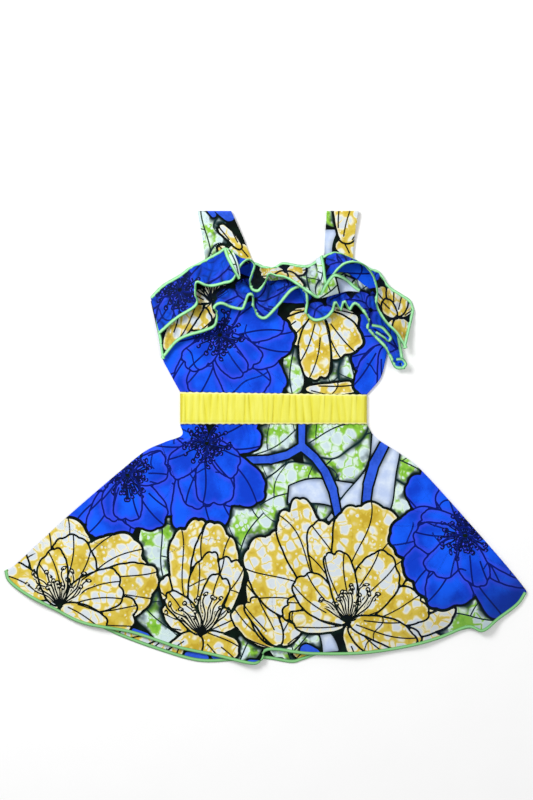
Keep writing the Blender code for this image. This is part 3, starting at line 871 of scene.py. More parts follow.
def creases_on(plan, table):
    """Soft ridges and troughs: each a bell across its waved line, fading out at its two ends."""
    height = np.zeros(plan.shape[:2])
    for x0, y0, x1, y1, half_width, tall in table:
        run = np.array([x1 - x0, y1 - y0], float)
        length = np.hypot(*run)
        p = (plan - (x0, y0)) @ run / length
        q = (plan - (x0, y0)) @ np.array([-run[1], run[0]]) / length
        q = q + 2.0 * np.sin(p / 17 + x0)
        fade = smooth_step(p / (0.3 * length)) * smooth_step((length - p) / (0.3 * length))
        height += tall * fade * np.exp(-(q / half_width) ** 2)
    return height


def skirt_height(plan, u, v, turn):
    """Height of the skirt's gathers, folds and creases.

    Gather = a raised cosine of the turn, to the power 0.8, times a bell of the way from the waist.
    Fold = a bell across a line from the waist to the hem, times an even rise down that line.
    """
    below = np.linalg.norm(plan - plan[:1], axis=-1)
    length = GATHER_LENGTH * (1 + 0.4 * np.sin(22 * math.pi * turn))
    phase = GATHERS * turn + 0.05 * np.sin(below / 9 + 5 * turn)
    gather = (0.5 - 0.5 * np.cos(2 * math.pi * phase)) ** 0.8
    tall = GATHER_HEIGHT + 0.35 * np.sin(2 * math.pi * 9.3 * turn)
    height = FRONT_RISE + tall * gather * np.exp(-(below / length) ** 2)
    height = height + 0.35 * np.sin(2 * math.pi * 61 * turn) * np.exp(-(below / 9) ** 2)
    down = v[:, None]
    for at_waist, at_hem, starts, half_width, fold_height in SKIRT_FOLDS:
        centre = at_waist + (at_hem - at_waist) * down
        bell = np.exp(-((u[None] - centre) / half_width) ** 2)
        height = height + fold_height * bell * smooth_step((down - starts) / 0.5)
    return height + creases_on(plan, SKIRT_CREASES)


gather_turn = np.linspace(0, 1, 12 * GATHERS + 1)
across = uneven(gather_turn)
down = np.linspace(0, 1, SKIRT_ROWS) ** 1.12
front_skirt_plan = patch(
    curve_through([WAIST_LEFT, WAIST_RIGHT], across),
    curve_through(FRONT_HEM, across),
    curve_through(SKIRT_LEFT, down),
    curve_through(SKIRT_RIGHT, down),
)
height = FRONT_FLOOR + seam_ramp(across) * skirt_height(front_skirt_plan, across, down, gather_turn)
front_skirt_under = at_height(front_skirt_plan, height)
front_skirt_top = front_skirt_under + (0, 0, CLOTH)
skirt_front = shell("skirt_front_cloth", front_skirt_top, front_skirt_under, wax_print_cotton)
print_cloth(skirt_front.data, both(front_skirt_plan), both(front_skirt_plan), skirt_motifs, skirt_hearts)
# Painted shade above the front hem, strongest towards the right end
shade = smooth_step(1 - (1 - down) * SKIRT_LENGTH / SKIRT_HEM_PAINTED_SHADE_REACH)[:, None]
shade = SKIRT_HEM_PAINTED_SHADE * shade * smooth_step(front_skirt_plan[..., 0] / SKIRT_HEM_PAINTED_SHADE_FULL_X)
store(skirt_front.data, "painted_shade", "FLOAT", np.tile(shade.ravel(), 2))
hem_front = overlock("hem_front_thread", front_skirt_top - (0, 0, CLOTH / 2), "bottom", hem_thread)

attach(skirt_front, "root")
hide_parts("skirt_front")

# ---------------------------------------------------------------------------------------------
# Bodice: two panels sewn at the sides. The back one lies flat; the front one is puckered where
# the elastic draws it in, and both are cut to one neckline and armhole line.
NECKLINE = [
    (-133, 138), (-119, 155), (-99, 167.5), (-88, 175.5), (-76, 181.5), (-66, 184), (-52, 186.5),
    (-40, 188.5), (-30, 188), (-20, 184.3), (-12, 182.4), (-3, 178.7), (5, 176.8), (13, 178.3),
    (21, 181.8), (30, 181.2), (42, 179.2), (50, 179.2), (57, 182.7), (66, 186.5), (84, 187.5),
    (99, 187.3), (110, 182.3), (122, 175.2), (132, 170), (143, 155), (151, 144),
]
BODICE_LEFT = [(-133, 138), (-127, 111), (-122, 88), (-119, 71), (-112, 57), (-99, 33.3)]
BODICE_RIGHT = [(151, 144), (148, 117), (142, 88), (139, 70), (133, 49), (117.5, 30.3)]
# The seam on the waistband
BAND_LEFT, BAND_RIGHT = (-99, 33.3), (117.5, 30.3)
BACK_BODICE_COLUMNS, BACK_BODICE_ROWS = 110, 60
BODICE_ROWS = 120
BODICE_RISE = 1.0
PUCKERS = 14
PUCKER_HEIGHT = 1.3
PUCKER_LENGTH = 16
# How far the back's print is shifted from the front's mirrored one
BACK_PRINT_SHIFT = (30, 0)
BODICE_CREASES = [
    # from_x, from_y, to_x, to_y, half_width, height
    (-80, 45, -92, 90, 5.0, 1.2),
    (-48, 40, -40, 84, 4.5, -0.9),
    (-10, 36, -20, 92, 5.0, 1.1),
    (28, 36, 34, 80, 4.0, 1.0),
    (58, 38, 52, 96, 5.0, -0.9),
    (92, 38, 104, 84, 5.0, 1.3),
    (-118, 70, -70, 96, 6.0, 0.9),
]
BODICE_FLOWERS = [
    ("blue", 139, 88, "none", [
        (90, 56, 23), (150, 44, 19), (200, 42, 20), (248, 63, 22), (290, 58, 19), (30, 35, 19),
    ]),
    ("gold", 62, 124, "none", [
        (190, 40, 14), (338, 46, 20), (222, 52, 19), (304, 58, 27), (259, 74, 20),
    ]),
    ("blue", -53, 99, "all", [
        (323, 94, 26), (150, 58, 23), (204, 74, 29), (238, 79, 27), (268, 72, 29), (301, 81, 29),
        (344, 81, 31), (22, 74, 26), (95, 42, 23), (320, 53, 17), (287, 51, 16), (228, 51, 16),
    ]),
]
BODICE_BLADES = [
    ("blue", [(66, 168, 140, 172, 20), (-46, 168, -4, 172, 16), (4, 146, 52, 146, 13)]),
    ("leaf", [
        (-14, 176, 60, 164, 12), (34, 28, 30, 89, 13), (58, 34, 102, 72, 21), (100, 28, 98, 89, 14),
    ]),
    ("gold", [(44, 37, 104, 32, 9)]),
]


def bodice_plan(u, v):
    """The bodice's plan: the patch between the neckline, the waistband and the two sides."""
    return patch(
        curve_through(NECKLINE, u),
        curve_through([BAND_LEFT, BAND_RIGHT], u),
        curve_through(BODICE_LEFT, v),
        curve_through(BODICE_RIGHT, v),
    )


bodice_motifs, bodice_hearts = layout(BODICE_FLOWERS, BODICE_BLADES)
plan = bodice_plan(np.linspace(0, 1, BACK_BODICE_COLUMNS), np.linspace(0, 1, BACK_BODICE_ROWS))
top = at_height(plan, BACK_CLOTH)
bodice_back = shell("bodice_back_cloth", top, at_height(plan, 0.0), wax_print_cotton)
mirrored_plan = both(plan) * (-1, 1) + BACK_PRINT_SHIFT
print_cloth(bodice_back.data, mirrored_plan, both(plan), bodice_motifs, bodice_hearts)

# Pucker = a raised cosine of the turn, to the power 0.8, times a bell of the way from the band
turn = np.linspace(0, 1, 14 * PUCKERS + 1)
across = uneven(turn)
plan = bodice_plan(across, 1 - np.linspace(1, 0, BODICE_ROWS) ** 1.1)
from_band = np.linalg.norm(plan - plan[-1:], axis=-1)
length = PUCKER_LENGTH * (1 + 0.4 * np.sin(10 * math.pi * turn))
pucker = (0.5 - 0.5 * np.cos(2 * math.pi * PUCKERS * turn)) ** 0.8
height = BODICE_RISE + PUCKER_HEIGHT * pucker * np.exp(-(from_band / length) ** 2)
height = height + 0.35 * np.sin(2 * math.pi * 37 * turn) * np.exp(-(from_band / 8) ** 2)
height = height + creases_on(plan, BODICE_CREASES)
bodice_under = at_height(plan, FRONT_FLOOR + seam_ramp(across) * height)
bodice_top = bodice_under + (0, 0, CLOTH)
bodice_front = shell("bodice_front_cloth", bodice_top, bodice_under, wax_print_cotton)
print_cloth(bodice_front.data, both(plan), both(plan), bodice_motifs, bodice_hearts)

for piece, node in ((bodice_back, "bodice_back"), (bodice_front, "bodice_front")):
    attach(piece, "root")
    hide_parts(node)

# ---------------------------------------------------------------------------------------------
# Waistband: plain yellow cotton, doubled and gathered over wide elastic into a ring, which here
# lies flattened. Its front wall stands in small uneven pleats, some of which end on the way.
BAND_BOTTOM = -4.0
# Half the ring's height outside and inside
BAND_HALF = 2.7
BAND_HOLLOW = 0.3
# y of the top edge's two ends, and the top edge's fall
BAND_TOP_LEFT, BAND_TOP_RIGHT = 33, 30
BAND_FALL = 0.01386
BAND_ROWS = 30
BAND_FRONT_COLUMNS = 16 * GATHERS + 1
BAND_END_COLUMNS = 9
BAND_BACK_COLUMNS = 60
BAND_SEED = 11
BAND_PLEAT_HEIGHT = 1.55
# The band's yellow, a paler yellow for streaks and painted highlights, its painted shade, and a painted
# highlight for the rims
BAND_YELLOW = (0.70, 0.66, 0.045)
BAND_STREAK_AND_PAINTED_HIGHLIGHT = (0.79, 0.78, 0.15)
BAND_PAINTED_SHADE = (0.52, 0.45, 0.025)
BAND_PAINTED_RIM_HIGHLIGHT = (0.84, 0.84, 0.42)


def flat_ring(radius):
    """Cross-section (x, z) of a flattened ring: its front, a round end, its back, a round end."""
    start, stop = BAND_LEFT[0] + BAND_HALF, BAND_RIGHT[0] - BAND_HALF
    turn = np.linspace(0, math.pi, BAND_END_COLUMNS + 2)[1:-1]
    front = np.linspace((start, BAND_HALF + radius), (stop, BAND_HALF + radius), BAND_FRONT_COLUMNS)
    back = np.linspace((stop, BAND_HALF - radius), (start, BAND_HALF - radius), BAND_BACK_COLUMNS)
    right = np.column_stack([stop + radius * np.sin(turn), BAND_HALF + radius * np.cos(turn)])
    left = np.column_stack([start - radius * np.sin(turn), BAND_HALF - radius * np.cos(turn)])
    return np.concatenate([front, right, back, left])


def band_material():
    """Bright yellow cotton: paler in random streaks, with painted highlights on the pleat tops and
    rims and painted shade in the hollows.
    """
    made, tree, shader = new_material("waistband_cotton")
    x, y, pleat = point_value(tree, "cloth", "Vector")
    cloth = joined(x, y, 0)
    stretched = noise(joined(x, y * 0.12, 0), 5.5, 3.0)
    # Paler in random streaks, and a painted highlight on the pleat tops
    colour = paint((stretched * 0.9 + pleat * 0.5).between(0.55, 1.25), BAND_YELLOW, BAND_STREAK_AND_PAINTED_HIGHLIGHT)
    # Painted shade in the hollows between pleats
    painted_hollow_shade = (pleat + stretched * 0.3).between(0.25, 0.78).off()
    colour = paint(painted_hollow_shade * 0.6, colour, BAND_PAINTED_SHADE)
    # Painted highlight along the band's bottom and top rims, uneven along them
    rim = (y.between(-3.2, -1.6).off()).either((y + x * BAND_FALL).between(29.2, 30.6))
    normal = bump(put_group(tree, weave, cloth), 0.00008)
    set_inputs(shader, {
        "Base Color": paint(rim * (stretched * 0.6 + 0.4), colour, BAND_PAINTED_RIM_HIGHLIGHT),
        "Roughness": stretched * 0.2 + 0.38,
        "Sheen Weight": 0.05,
        "Specular IOR Level": 0.2,
        "Normal": bump(stretched, 0.0012, 0.8, Normal=normal),
    })
    return made


band_outer = flat_ring(BAND_HALF)
band_inner = flat_ring(BAND_HOLLOW)
band_turn = np.linspace(0, 1, BAND_FRONT_COLUMNS)
down = np.linspace(0, 1, BAND_ROWS)[:, None]

# Pleats of uneven width run from the top edge to the bottom one, where each ends a little aside.
# Pleat = 1 - its depth there * (1 - |sin(pi * its place)| to the power 0.55)
chances = np.random.default_rng(BAND_SEED)
widths = chances.uniform(0.7, 1.5, GATHERS)
shifts = chances.uniform(-0.3, 0.3, (2, GATHERS + 1))
shifts[:, [0, -1]] = 0
valleys = np.concatenate([[0], np.cumsum(widths)])
valleys = valleys / valleys[-1] + shifts / GATHERS
counted = np.arange(GATHERS + 1)
at_top = np.interp(band_turn, valleys[0], counted)
at_bottom = np.interp(band_turn, valleys[1], counted)
pleat_place = at_top * (1 - down) + at_bottom * down
depths = chances.uniform(0.1, 1.0, (3, GATHERS + 1))
deep = [np.interp(pleat_place, counted, row) for row in depths]
deep = deep[0] * (1 - down) ** 2 + deep[1] * down ** 2 + 2 * deep[2] * down * (1 - down)
pleat = 1 - deep * (1 - np.abs(np.sin(math.pi * pleat_place)) ** 0.55)
swell = np.interp(band_turn, np.linspace(0, 1, 23), chances.uniform(0, 1, 23))
pleat = pleat - 0.2 * swell * (1 - pleat) - 0.12 * swell

puff = 0.25 + 0.75 * smooth_step(np.minimum(down, 1 - down) / 0.14)
share = (band_outer[:, 0] - BAND_LEFT[0]) / (BAND_RIGHT[0] - BAND_LEFT[0])
band_top = BAND_TOP_LEFT + (BAND_TOP_RIGHT - BAND_TOP_LEFT) * share
y = band_top + (BAND_BOTTOM - band_top) * down
scallop = 0.35 * np.sin(2 * math.pi * GATHERS * band_turn) * (0.5 - down) * 2
y[:, :BAND_FRONT_COLUMNS] += scallop * smooth_step(np.minimum(band_turn, 1 - band_turn) / 0.03)
raised = np.zeros_like(y)
raised[:, :BAND_FRONT_COLUMNS] = BAND_PLEAT_HEIGHT * puff * pleat
outside = stacked(band_outer[:, 0], y, band_outer[:, 1] + raised)
inside = stacked(band_inner[:, 0], y, band_inner[:, 1])
waistband = shell("waistband_cloth", outside, inside, band_material(), ring=True)
# The pleat's height, which the material turns into painted highlights on its tops and painted shade in its
# hollows
crest = np.zeros_like(y)
crest[:, :BAND_FRONT_COLUMNS] = pleat
flat = np.column_stack([both(outside), np.tile(crest.ravel(), 2)])
store(waistband.data, "cloth", "FLOAT_VECTOR", flat)

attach(waistband, "root")
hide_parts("waistband")

# ---------------------------------------------------------------------------------------------
# Shoulder straps: two wide bands of the print, each sewn to the front neckline, turned over at
# the shoulder and sewn to the back neckline.
SHOULDER = 243.0
STRAP_CLOTH = 1.0
STRAP_COLUMNS = 28
STRAP_ROWS = 70
STRAP_FOLD_RADIUS = 2.2
# z of a strap's middle at the back, and where it is sewn to the front neckline
STRAP_LOW = 0.6
STRAP_FRONT = 2.1
STRAPS = [
    # the node, its edges (y, left_x, right_x), the cut width in metres, and where its crackle starts
    ("strap_left", [(243, -79, -40), (212, -73, -26), (180, -69, -13)], 0.045, 150),
    ("strap_right", [(243, 71, 108), (212, 69, 103), (180, 68, 101)], 0.037, 95),
]
STRAP_BLADES = [
    ("leaf", [
        (-66, 164, -71, 252, 25), (-58, 168, -52, 206, 12), (-58, 220, -44, 240, 7),
        (72, 254, 80, 224, 14), (70, 172, 86, 196, 9),
    ]),
    ("pale", [(75, 222, 75, 186, 10)]),
    ("gold", [
        (-10, 172, -34, 206, 12), (-28, 198, -50, 228, 7), (-38, 182, -56, 200, 7),
        (106, 170, 92, 214, 18), (92, 204, 103, 258, 18),
    ]),
    ("stem", [(-60, 252, -42, 238, 8), (-72, 252, -60, 238, 4)]),
]


def strap_line(end):
    """Middle of a strap's wall from the front neckline over the shoulder to the back one: y, z.

    A line that rises evenly to the shoulder, a half circle there, and a level line back.
    """
    turn = np.linspace(0, math.pi, 17)
    fold_y = SHOULDER - STRAP_FOLD_RADIUS - STRAP_LOW
    fold_z = STRAP_LOW + STRAP_FOLD_RADIUS * (1 + np.cos(turn))
    down = np.linspace(0, 1, STRAP_ROWS)
    front_y = end + (fold_y - end) * down
    front_z = STRAP_FRONT + (fold_z[0] - STRAP_FRONT) * smooth_step(down)
    y = np.concatenate([front_y[:-1], fold_y + STRAP_FOLD_RADIUS * np.sin(turn), front_y[::-1][1:]])
    z = np.concatenate([front_z[:-1], fold_z, np.full(STRAP_ROWS - 1, STRAP_LOW)])
    return y, z


def strap_surface(table):
    """A strap's middle surface: its line, spread between its left and right edges."""
    table = np.array(table, float)[::-1]
    neckline = curve_through(NECKLINE, np.linspace(0, 1, 300))
    strips = []
    for across in np.linspace(0, 1, STRAP_COLUMNS):
        end_x = table[0, 1] + (table[0, 2] - table[0, 1]) * across
        y, z = strap_line(np.interp(end_x, neckline[:, 0], neckline[:, 1]) + 0.5)
        left, right = np.interp(y, table[:, 0], table[:, 1]), np.interp(y, table[:, 0], table[:, 2])
        strips.append(np.column_stack([left + (right - left) * across, y, z]))
    return np.stack(strips, axis=1)[::-1]


def both_faces(middle, thickness):
    """The two faces of a wall of cloth around its middle surface, along its normals."""
    normal = np.cross(np.gradient(middle, axis=0), np.gradient(middle, axis=1))
    normal /= np.linalg.norm(normal, axis=-1, keepdims=True)
    return middle + normal * thickness / 2, middle - normal * thickness / 2


strap_tops = []
for name, table, width, crackle_start in STRAPS:
    middle = strap_surface(table)
    outer, inner = both_faces(middle, STRAP_CLOTH)
    flat = stacked(middle[..., 0], run_of(middle[:, STRAP_COLUMNS // 2])[:, None])
    strap = shell(name + "_cloth", outer, inner, wax_print_cotton)
    print_cloth(strap.data, both(middle), both(flat) + (0, crackle_start), *layout([], STRAP_BLADES))
    strap_tops.append(outer)
    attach(strap, "root")
    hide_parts(name)

# ---------------------------------------------------------------------------------------------
# Ruffles: two gathered strips of the print along the front neckline, the lower one sewn on below
# the upper one. Each free edge is overlocked in mint thread and stands in loose waves over what
# lies below it, and in five places it turns up, curls or doubles over itself.
RUFFLE_CLOTH = 0.8
RUFFLE_COLUMNS, RUFFLE_ROWS = 440, 40
RUFFLE_GATHERS = 44
RUFFLE_DEPTH = 48
FOLD_COLUMNS, FOLD_ROWS = 100, 14
CRUMPLE_HEIGHT = 2.2
CRUMPLE_MIDDLE = 0.45
CRUMPLES = [
    # size, share of the height, turn
    (16, 0.55, 0.35), (11, 0.3, 1.9), (7, 0.15, 2.8),
]
# The least painted shade, which lies over a whole ruffle; crumples' creases get more
LEAST_PAINTED_SHADE = 0.14
# How deep a heading sits in its bed, how far from it the cloth is free, and how much it rises there
HEADING_SINK = 0.3
HEADING_REACH = 14
FREE_RISE = 1.2
EDGE_RISE = 0.5
# The bed's square cells, the cells that it spreads by, and its margin round the pieces
BED_CELL = 2.5
BED_SPREAD = 2
BED_MARGIN = 40
# The ruffles' thread: mint, a paler mint for fibres and painted highlights, and its painted shade
MINT = (0.16, 0.56, 0.18)
MINT_FIBRE_AND_PAINTED_HIGHLIGHT = (0.46, 0.86, 0.50)
MINT_PAINTED_SHADE = (0.02, 0.18, 0.035)
LOWER_RUFFLE = [
    # heading_x, heading_y, edge_x, edge_y, lift
    (-128, 126, -119, 71, 1), (-111, 141, -99, 93, 4), (-92, 153, -70, 103, 6), (-84, 157, -58, 109, 8),
    (-76, 162, -55, 120, 11), (-68, 165, -58, 130, 12), (-60, 169, -51, 134, 11), (-52, 172, -40, 130, 7),
    (-44, 175, -27, 128, 5), (-38, 173, -23, 134, 7), (-32, 171, -19, 144, 10), (-26, 169, -14, 142, 9),
    (-20, 167, -13, 130, 6), (-14, 165, -9, 120, 4), (-6, 163, 1, 118, 4), (2, 162, 16, 133, 7),
    (10, 162, 30, 149, 11), (18, 163, 41, 153, 12), (26, 164, 48, 147, 12), (33, 163, 49, 135, 9),
    (40, 162, 48, 122, 6), (47, 161, 57, 115, 4), (54, 162, 70, 118, 5), (61, 164, 78, 126, 8),
    (68, 166, 81, 135, 11), (75, 169, 87, 127, 7), (82, 171, 91, 136, 11), (89, 172, 97, 127, 7),
    (96, 170, 103, 134, 11), (103, 166, 111, 127, 9), (108, 162, 119, 114, 8), (114, 157, 119, 104, 7),
    (120, 153, 126, 96, 6), (132, 142, 139, 82, 5), (142, 132, 147, 65, 4), (147, 127, 152, 60, 3),
    (151, 122, 161, 60, 2),
]
UPPER_RUFFLE = [
    # heading_x, heading_y, edge_x, edge_y, lift
    (-133, 143, -122, 100, 1), (-119, 157, -102, 117, 4), (-99, 169, -79, 132, 9),
    (-90, 176, -80, 145, 12), (-82, 180, -79, 158, 13), (-72, 185, -70, 155, 9), (-64, 190, -61, 154, 6),
    (-55, 195, -48, 157, 7), (-46, 200, -37, 161, 10), (-35, 193, -28, 178, 15), (-29, 188, -19, 185, 16),
    (-23, 186, -12, 179, 15), (-18, 184, -15, 168, 11), (-13, 183, -18, 158, 8), (-9, 182, -16, 150, 6),
    (-3, 179, -8, 148, 7), (3, 178, -1, 157, 10), (8, 177, 4, 168, 12), (13, 179, 13, 166, 8),
    (21, 183, 25, 163, 5), (39, 180, 46, 149, 4), (50, 180, 59, 141, 6), (57, 184, 66, 146, 10),
    (66, 190, 76, 164, 14), (81, 195, 92, 180, 16), (99, 188, 111, 180, 16), (110, 183, 124, 167, 14),
    (122, 176, 129, 148, 11), (132, 172, 128, 130, 8), (143, 156, 137, 114, 6), (158, 146, 149, 102, 4),
    (168, 139, 156, 92, 3), (172, 128, 161, 83, 2),
]
LOWER_FLOWERS = [
    ("gold", -117, 79, "none", [(40, 67, 20), (20, 58, 16), (62, 70, 14)]),
    ("gold", -62, 138, "up", [(150, 24, 10), (60, 26, 9), (95, 28, 10), (15, 24, 9)]),
    ("gold", 38, 126, "none", [(100, 26, 10), (60, 28, 9), (150, 16, 7)]),
    ("blue", -12, 140, "none", [
        (180, 46, 16), (215, 53, 19), (255, 39, 19), (300, 39, 19), (340, 56, 20), (8, 66, 19),
        (50, 42, 16), (110, 28, 19),
    ]),
    ("blue", 69, 134, "none", [(200, 23, 10), (330, 30, 12), (20, 30, 14), (270, 23, 14)]),
    ("blue", 121, 128, "none", [
        (125, 25, 12), (190, 30, 14), (240, 39, 15), (290, 51, 16), (318, 65, 17), (60, 19, 11),
    ]),
]
LOWER_BLADES = [
    ("gold", [(-96, 92, -58, 142, 15)]),
    ("blue", [(66, 172, 136, 168, 18), (128, 136, 162, 60, 18)]),
    ("leaf", [(64, 146, 98, 170, 14)]),
    ("pale", [(92, 160, 120, 158, 8)]),
    ("leaf", [(102, 146, 124, 168, 12), (-96, 118, -66, 152, 9)]),
]
UPPER_FLOWERS = [
    ("blue", -34, 177, "none", [(180, 46, 19), (230, 39, 16), (285, 35, 15), (340, 23, 14), (70, 26, 14)]),
    ("blue", -99, 151, "all", [
        (235, 63, 23), (205, 46, 21), (265, 58, 26), (300, 53, 23), (335, 53, 21), (10, 70, 23),
        (40, 72, 21), (100, 30, 16), (160, 35, 16),
    ]),
    ("gold", 23, 172, "none", [(185, 30, 10), (10, 26, 10), (300, 28, 10), (240, 21, 9)]),
    ("blue", 98, 177, "none", [
        (150, 30, 14), (200, 32, 12), (90, 21, 16), (20, 39, 14), (330, 35, 14), (250, 21, 12),
    ]),
    ("blue", 140, 98, "none", [(250, 34, 14), (286, 30, 12), (200, 26, 10)]),
    ("gold", 151, 119, "none", [
        (262, 46, 17), (300, 40, 15), (60, 32, 15), (110, 39, 14), (85, 37, 14), (140, 23, 9),
    ]),
]
UPPER_BLADES = [
    ("leaf", [
        (47, 184, 59, 133, 15), (61, 140, 93, 168, 16), (130, 133, 105, 154, 9), (-62, 200, -40, 160, 10),
    ]),
    ("pale", [(124, 140, 147, 151, 8), (-56, 196, -46, 182, 6)]),
]
RUFFLE_FOLDS = {
    # rows as in the ruffles, and the fold's print
    "ruffle_upper_lobe": ([
        (61, 140, 62, 144, 1), (70, 142, 68, 156, 3), (79, 145, 77, 167, 5), (86, 147, 86, 166, 5),
        (94, 149, 95, 162, 4), (101, 149, 102, 156, 3), (108, 148, 109, 151, 1),
    ], [("leaf", [(58, 138, 92, 172, 24)]), ("pale", [(84, 150, 112, 158, 14)])]),
    "ruffle_upper_pleat": ([
        (58, 186, 65.5, 190, 2), (60, 175, 67, 180, 4), (61, 165, 68, 171, 4), (65, 158, 69, 163, 3),
        (68, 152, 71, 156, 1),
    ], [("leaf", [(60, 150, 64, 194, 12)])]),
    "ruffle_upper_flap": ([
        (-38, 197, -48, 197, 1), (-35, 190, -45, 188, 3), (-32, 182, -40, 178, 4),
        (-30, 173, -35, 169, 3), (-29, 166, -31, 162, 1),
    ], [("leaf", [(-30, 160, -48, 202, 14)])]),
    "ruffle_lower_tongue": ([
        (121, 107, 122.8, 111, 1), (127, 106, 134, 108, 3), (133, 102, 140.5, 101.5, 4),
        (137, 98, 145, 95, 4), (136, 97, 142, 91, 4), (131, 100, 137, 94.5, 3), (124, 104, 126.5, 101, 1),
    ], [("blue", [(112, 108, 152, 92, 16)])]),
    "ruffle_lower_curl": ([
        (153, 66, 151, 72, 1), (156, 67.5, 158.5, 71.5, 3), (158, 65.5, 163, 65, 3),
        (157, 62.5, 159.5, 60, 1),
    ], [("blue", [(150, 60, 166, 72, 12)])]),
}


def dense(grid, times):
    """A grid of points with straight steps added between its own."""
    for axis in (0, 1):
        count = grid.shape[axis]
        wanted = np.linspace(0, count - 1, (count - 1) * times + 1)
        low = np.minimum(wanted.astype(int), count - 2)
        share = (wanted - low).reshape((-1, 1, 1) if axis == 0 else (1, -1, 1))
        grid = np.take(grid, low, axis) * (1 - share) + np.take(grid, low + 1, axis) * share
    return grid


def shifted_stack(field, reach):
    """The field and its copies moved by every step up to the reach, with the borders repeated."""
    padded = np.pad(field, reach, mode="edge")
    size = 2 * reach + 1
    rows, columns = field.shape
    return np.stack([padded[i:i + rows, j:j + columns] for i in range(size) for j in range(size)])


def bed_over(grids):
    """The height of cloth laid over some pieces: a function of plan points.

    Their highest points on a square plan grid are spread by a few cells and then averaged over
    the same reach, which never comes out lower than the pieces.
    """
    points = np.concatenate([dense(grid, 2).reshape(-1, 3) for grid in grids])
    low = points[:, :2].min(axis=0) - BED_MARGIN
    shape = tuple(((points[:, :2].max(axis=0) + BED_MARGIN - low) / BED_CELL).astype(int) + 1)
    field = np.full(shape, FRONT_FLOOR)
    cell = ((points[:, :2] - low) / BED_CELL).astype(int)
    np.maximum.at(field, tuple(cell.T), points[:, 2])
    field = shifted_stack(field, BED_SPREAD + 1).max(axis=0)
    field = shifted_stack(field, BED_SPREAD).mean(axis=0)

    def bed(plan):
        place = np.clip((plan - low) / BED_CELL - 0.5, 0, np.array(shape) - 1.001)
        i, j = np.moveaxis(place.astype(int), -1, 0)
        s, t = np.moveaxis(place - place.astype(int), -1, 0)
        near = field[i, j] * (1 - t) + field[i, j + 1] * t
        far = field[i + 1, j] * (1 - t) + field[i + 1, j + 1] * t
        return near * (1 - s) + far * s

    return bed


def crumpled(plan):
    """Crumples, and painted shade in their creases, from 0 to 1.

    Crumples = a sum of |sin| of a line that a slower sine bends, one for each size. Painted shade
    lies in a crease, where that |sin| is near 0; it comes and goes along the line, and a little of it
    is everywhere.
    """
    height = 0
    painted_shade = 0
    for size, share, turned in CRUMPLES:
        across = plan @ (math.cos(turned), math.sin(turned)) / size
        along = plan @ (-math.sin(turned), math.cos(turned)) / size
        wave = np.abs(np.sin(math.pi * across + 1.5 * np.sin(1.9 * along + turned)))
        height = height + share * wave ** 0.8
        strength = 0.5 + 0.5 * np.sin(2.3 * along + 1.7 * across + 5 * turned)
        painted_shade = np.maximum(painted_shade, (0.5 + share) * (0.3 + 0.7 * strength) * (1 - wave) ** 1.7)
    return height, LEAST_PAINTED_SHADE + (1 - LEAST_PAINTED_SHADE) * painted_shade


def ruffle_surface(table, sewn_to, below, columns, rows, gathers):
    """Middle of a gathered strip: straight threads from the heading to the waved free edge.

    Height = the bed's + a share of the edge's lift + small gathers, raised sines that die away
    from the heading + broader ones that open towards the free edge + crumples. The bed is that of
    the pieces the heading is sewn to, and turns into that of everything below it.
    """
    turn = np.linspace(0, 1, columns)
    stations = curve_through(table, turn, measured=slice(2, 4))
    v = np.linspace(0, 1, rows)[:, None, None]
    plan = (1 - v) * stations[None, :, :2] + v * stations[None, :, 2:4]
    down = v[..., 0]
    full = min(gathers, 1)
    phase = 2 * math.pi * gathers * turn + 1.1 * np.sin(2 * math.pi * 5.3 * turn)
    tall = full * (1.0 + 0.5 * np.sin(2 * math.pi * 7.1 * turn))
    gather = tall * (0.5 + 0.5 * np.sin(phase)) * (1 - 0.8 * down) * smooth_step(down / 0.12 + 0.3)
    phase = 2 * math.pi * 0.43 * gathers * turn + 1.6 * np.sin(2 * math.pi * 3.3 * turn)
    fold = full * 1.2 * (0.5 + 0.5 * np.sin(phase)) * smooth_step(down / 0.7)
    crumples = crumpled(plan)[0] - CRUMPLE_MIDDLE
    fold = fold + full * CRUMPLE_HEIGHT * crumples * smooth_step(down / 0.2)
    lift = stations[None, :, 4] * down
    free = smooth_step(np.linalg.norm(plan - stations[None, :, :2], axis=-1) / HEADING_REACH)
    bed = bed_over(sewn_to)(plan) * (1 - free) + bed_over(below)(plan) * free
    rise = bed - HEADING_SINK + FREE_RISE * free + EDGE_RISE * down
    return at_height(plan, rise + lift + gather + fold)


def make_ruffle(name, table, sewn_to, below, flowers, blades):
    """A ruffle of the print, its middle surface and its upper face."""
    middle = ruffle_surface(table, sewn_to, below, RUFFLE_COLUMNS, RUFFLE_ROWS, RUFFLE_GATHERS)
    outer, inner = both_faces(middle, RUFFLE_CLOTH)
    made = shell(name + "_cloth", outer, inner, wax_print_cotton)
    flat = stacked(run_of(middle[-1]), np.linspace(0, RUFFLE_DEPTH, RUFFLE_ROWS)[:, None])
    print_cloth(made.data, both(middle), both(flat), *layout(flowers, blades))
    # Painted shade in the crumples' creases, and a little over the whole ruffle
    store(made.data, "painted_shade", "FLOAT", crumpled(both(middle))[1])
    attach(made, "root")
    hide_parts(name)
    return made, middle, outer


def edge_threads(name, middle, sides):
    """Mint thread round these sides of a ruffle or of a fold of it."""
    return [overlock(f"{name}_{side}_thread", middle, side, ruffle_thread) for side in sides]


def ruffle_fold(name, table, blades):
    """A fold of a ruffle that lies on both of them, and its thread."""
    below = [bodice_top, lower_top, upper_top]
    middle = ruffle_surface(table, below, below, FOLD_COLUMNS, FOLD_ROWS, 0)
    outer, inner = both_faces(middle, RUFFLE_CLOTH)
    made = shell(name + "_cloth", outer, inner, wax_print_cotton)
    print_cloth(made.data, both(middle), both(middle), *layout([], blades))
    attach(made, "root")
    return [made, *edge_threads(name, middle, ["bottom"])]


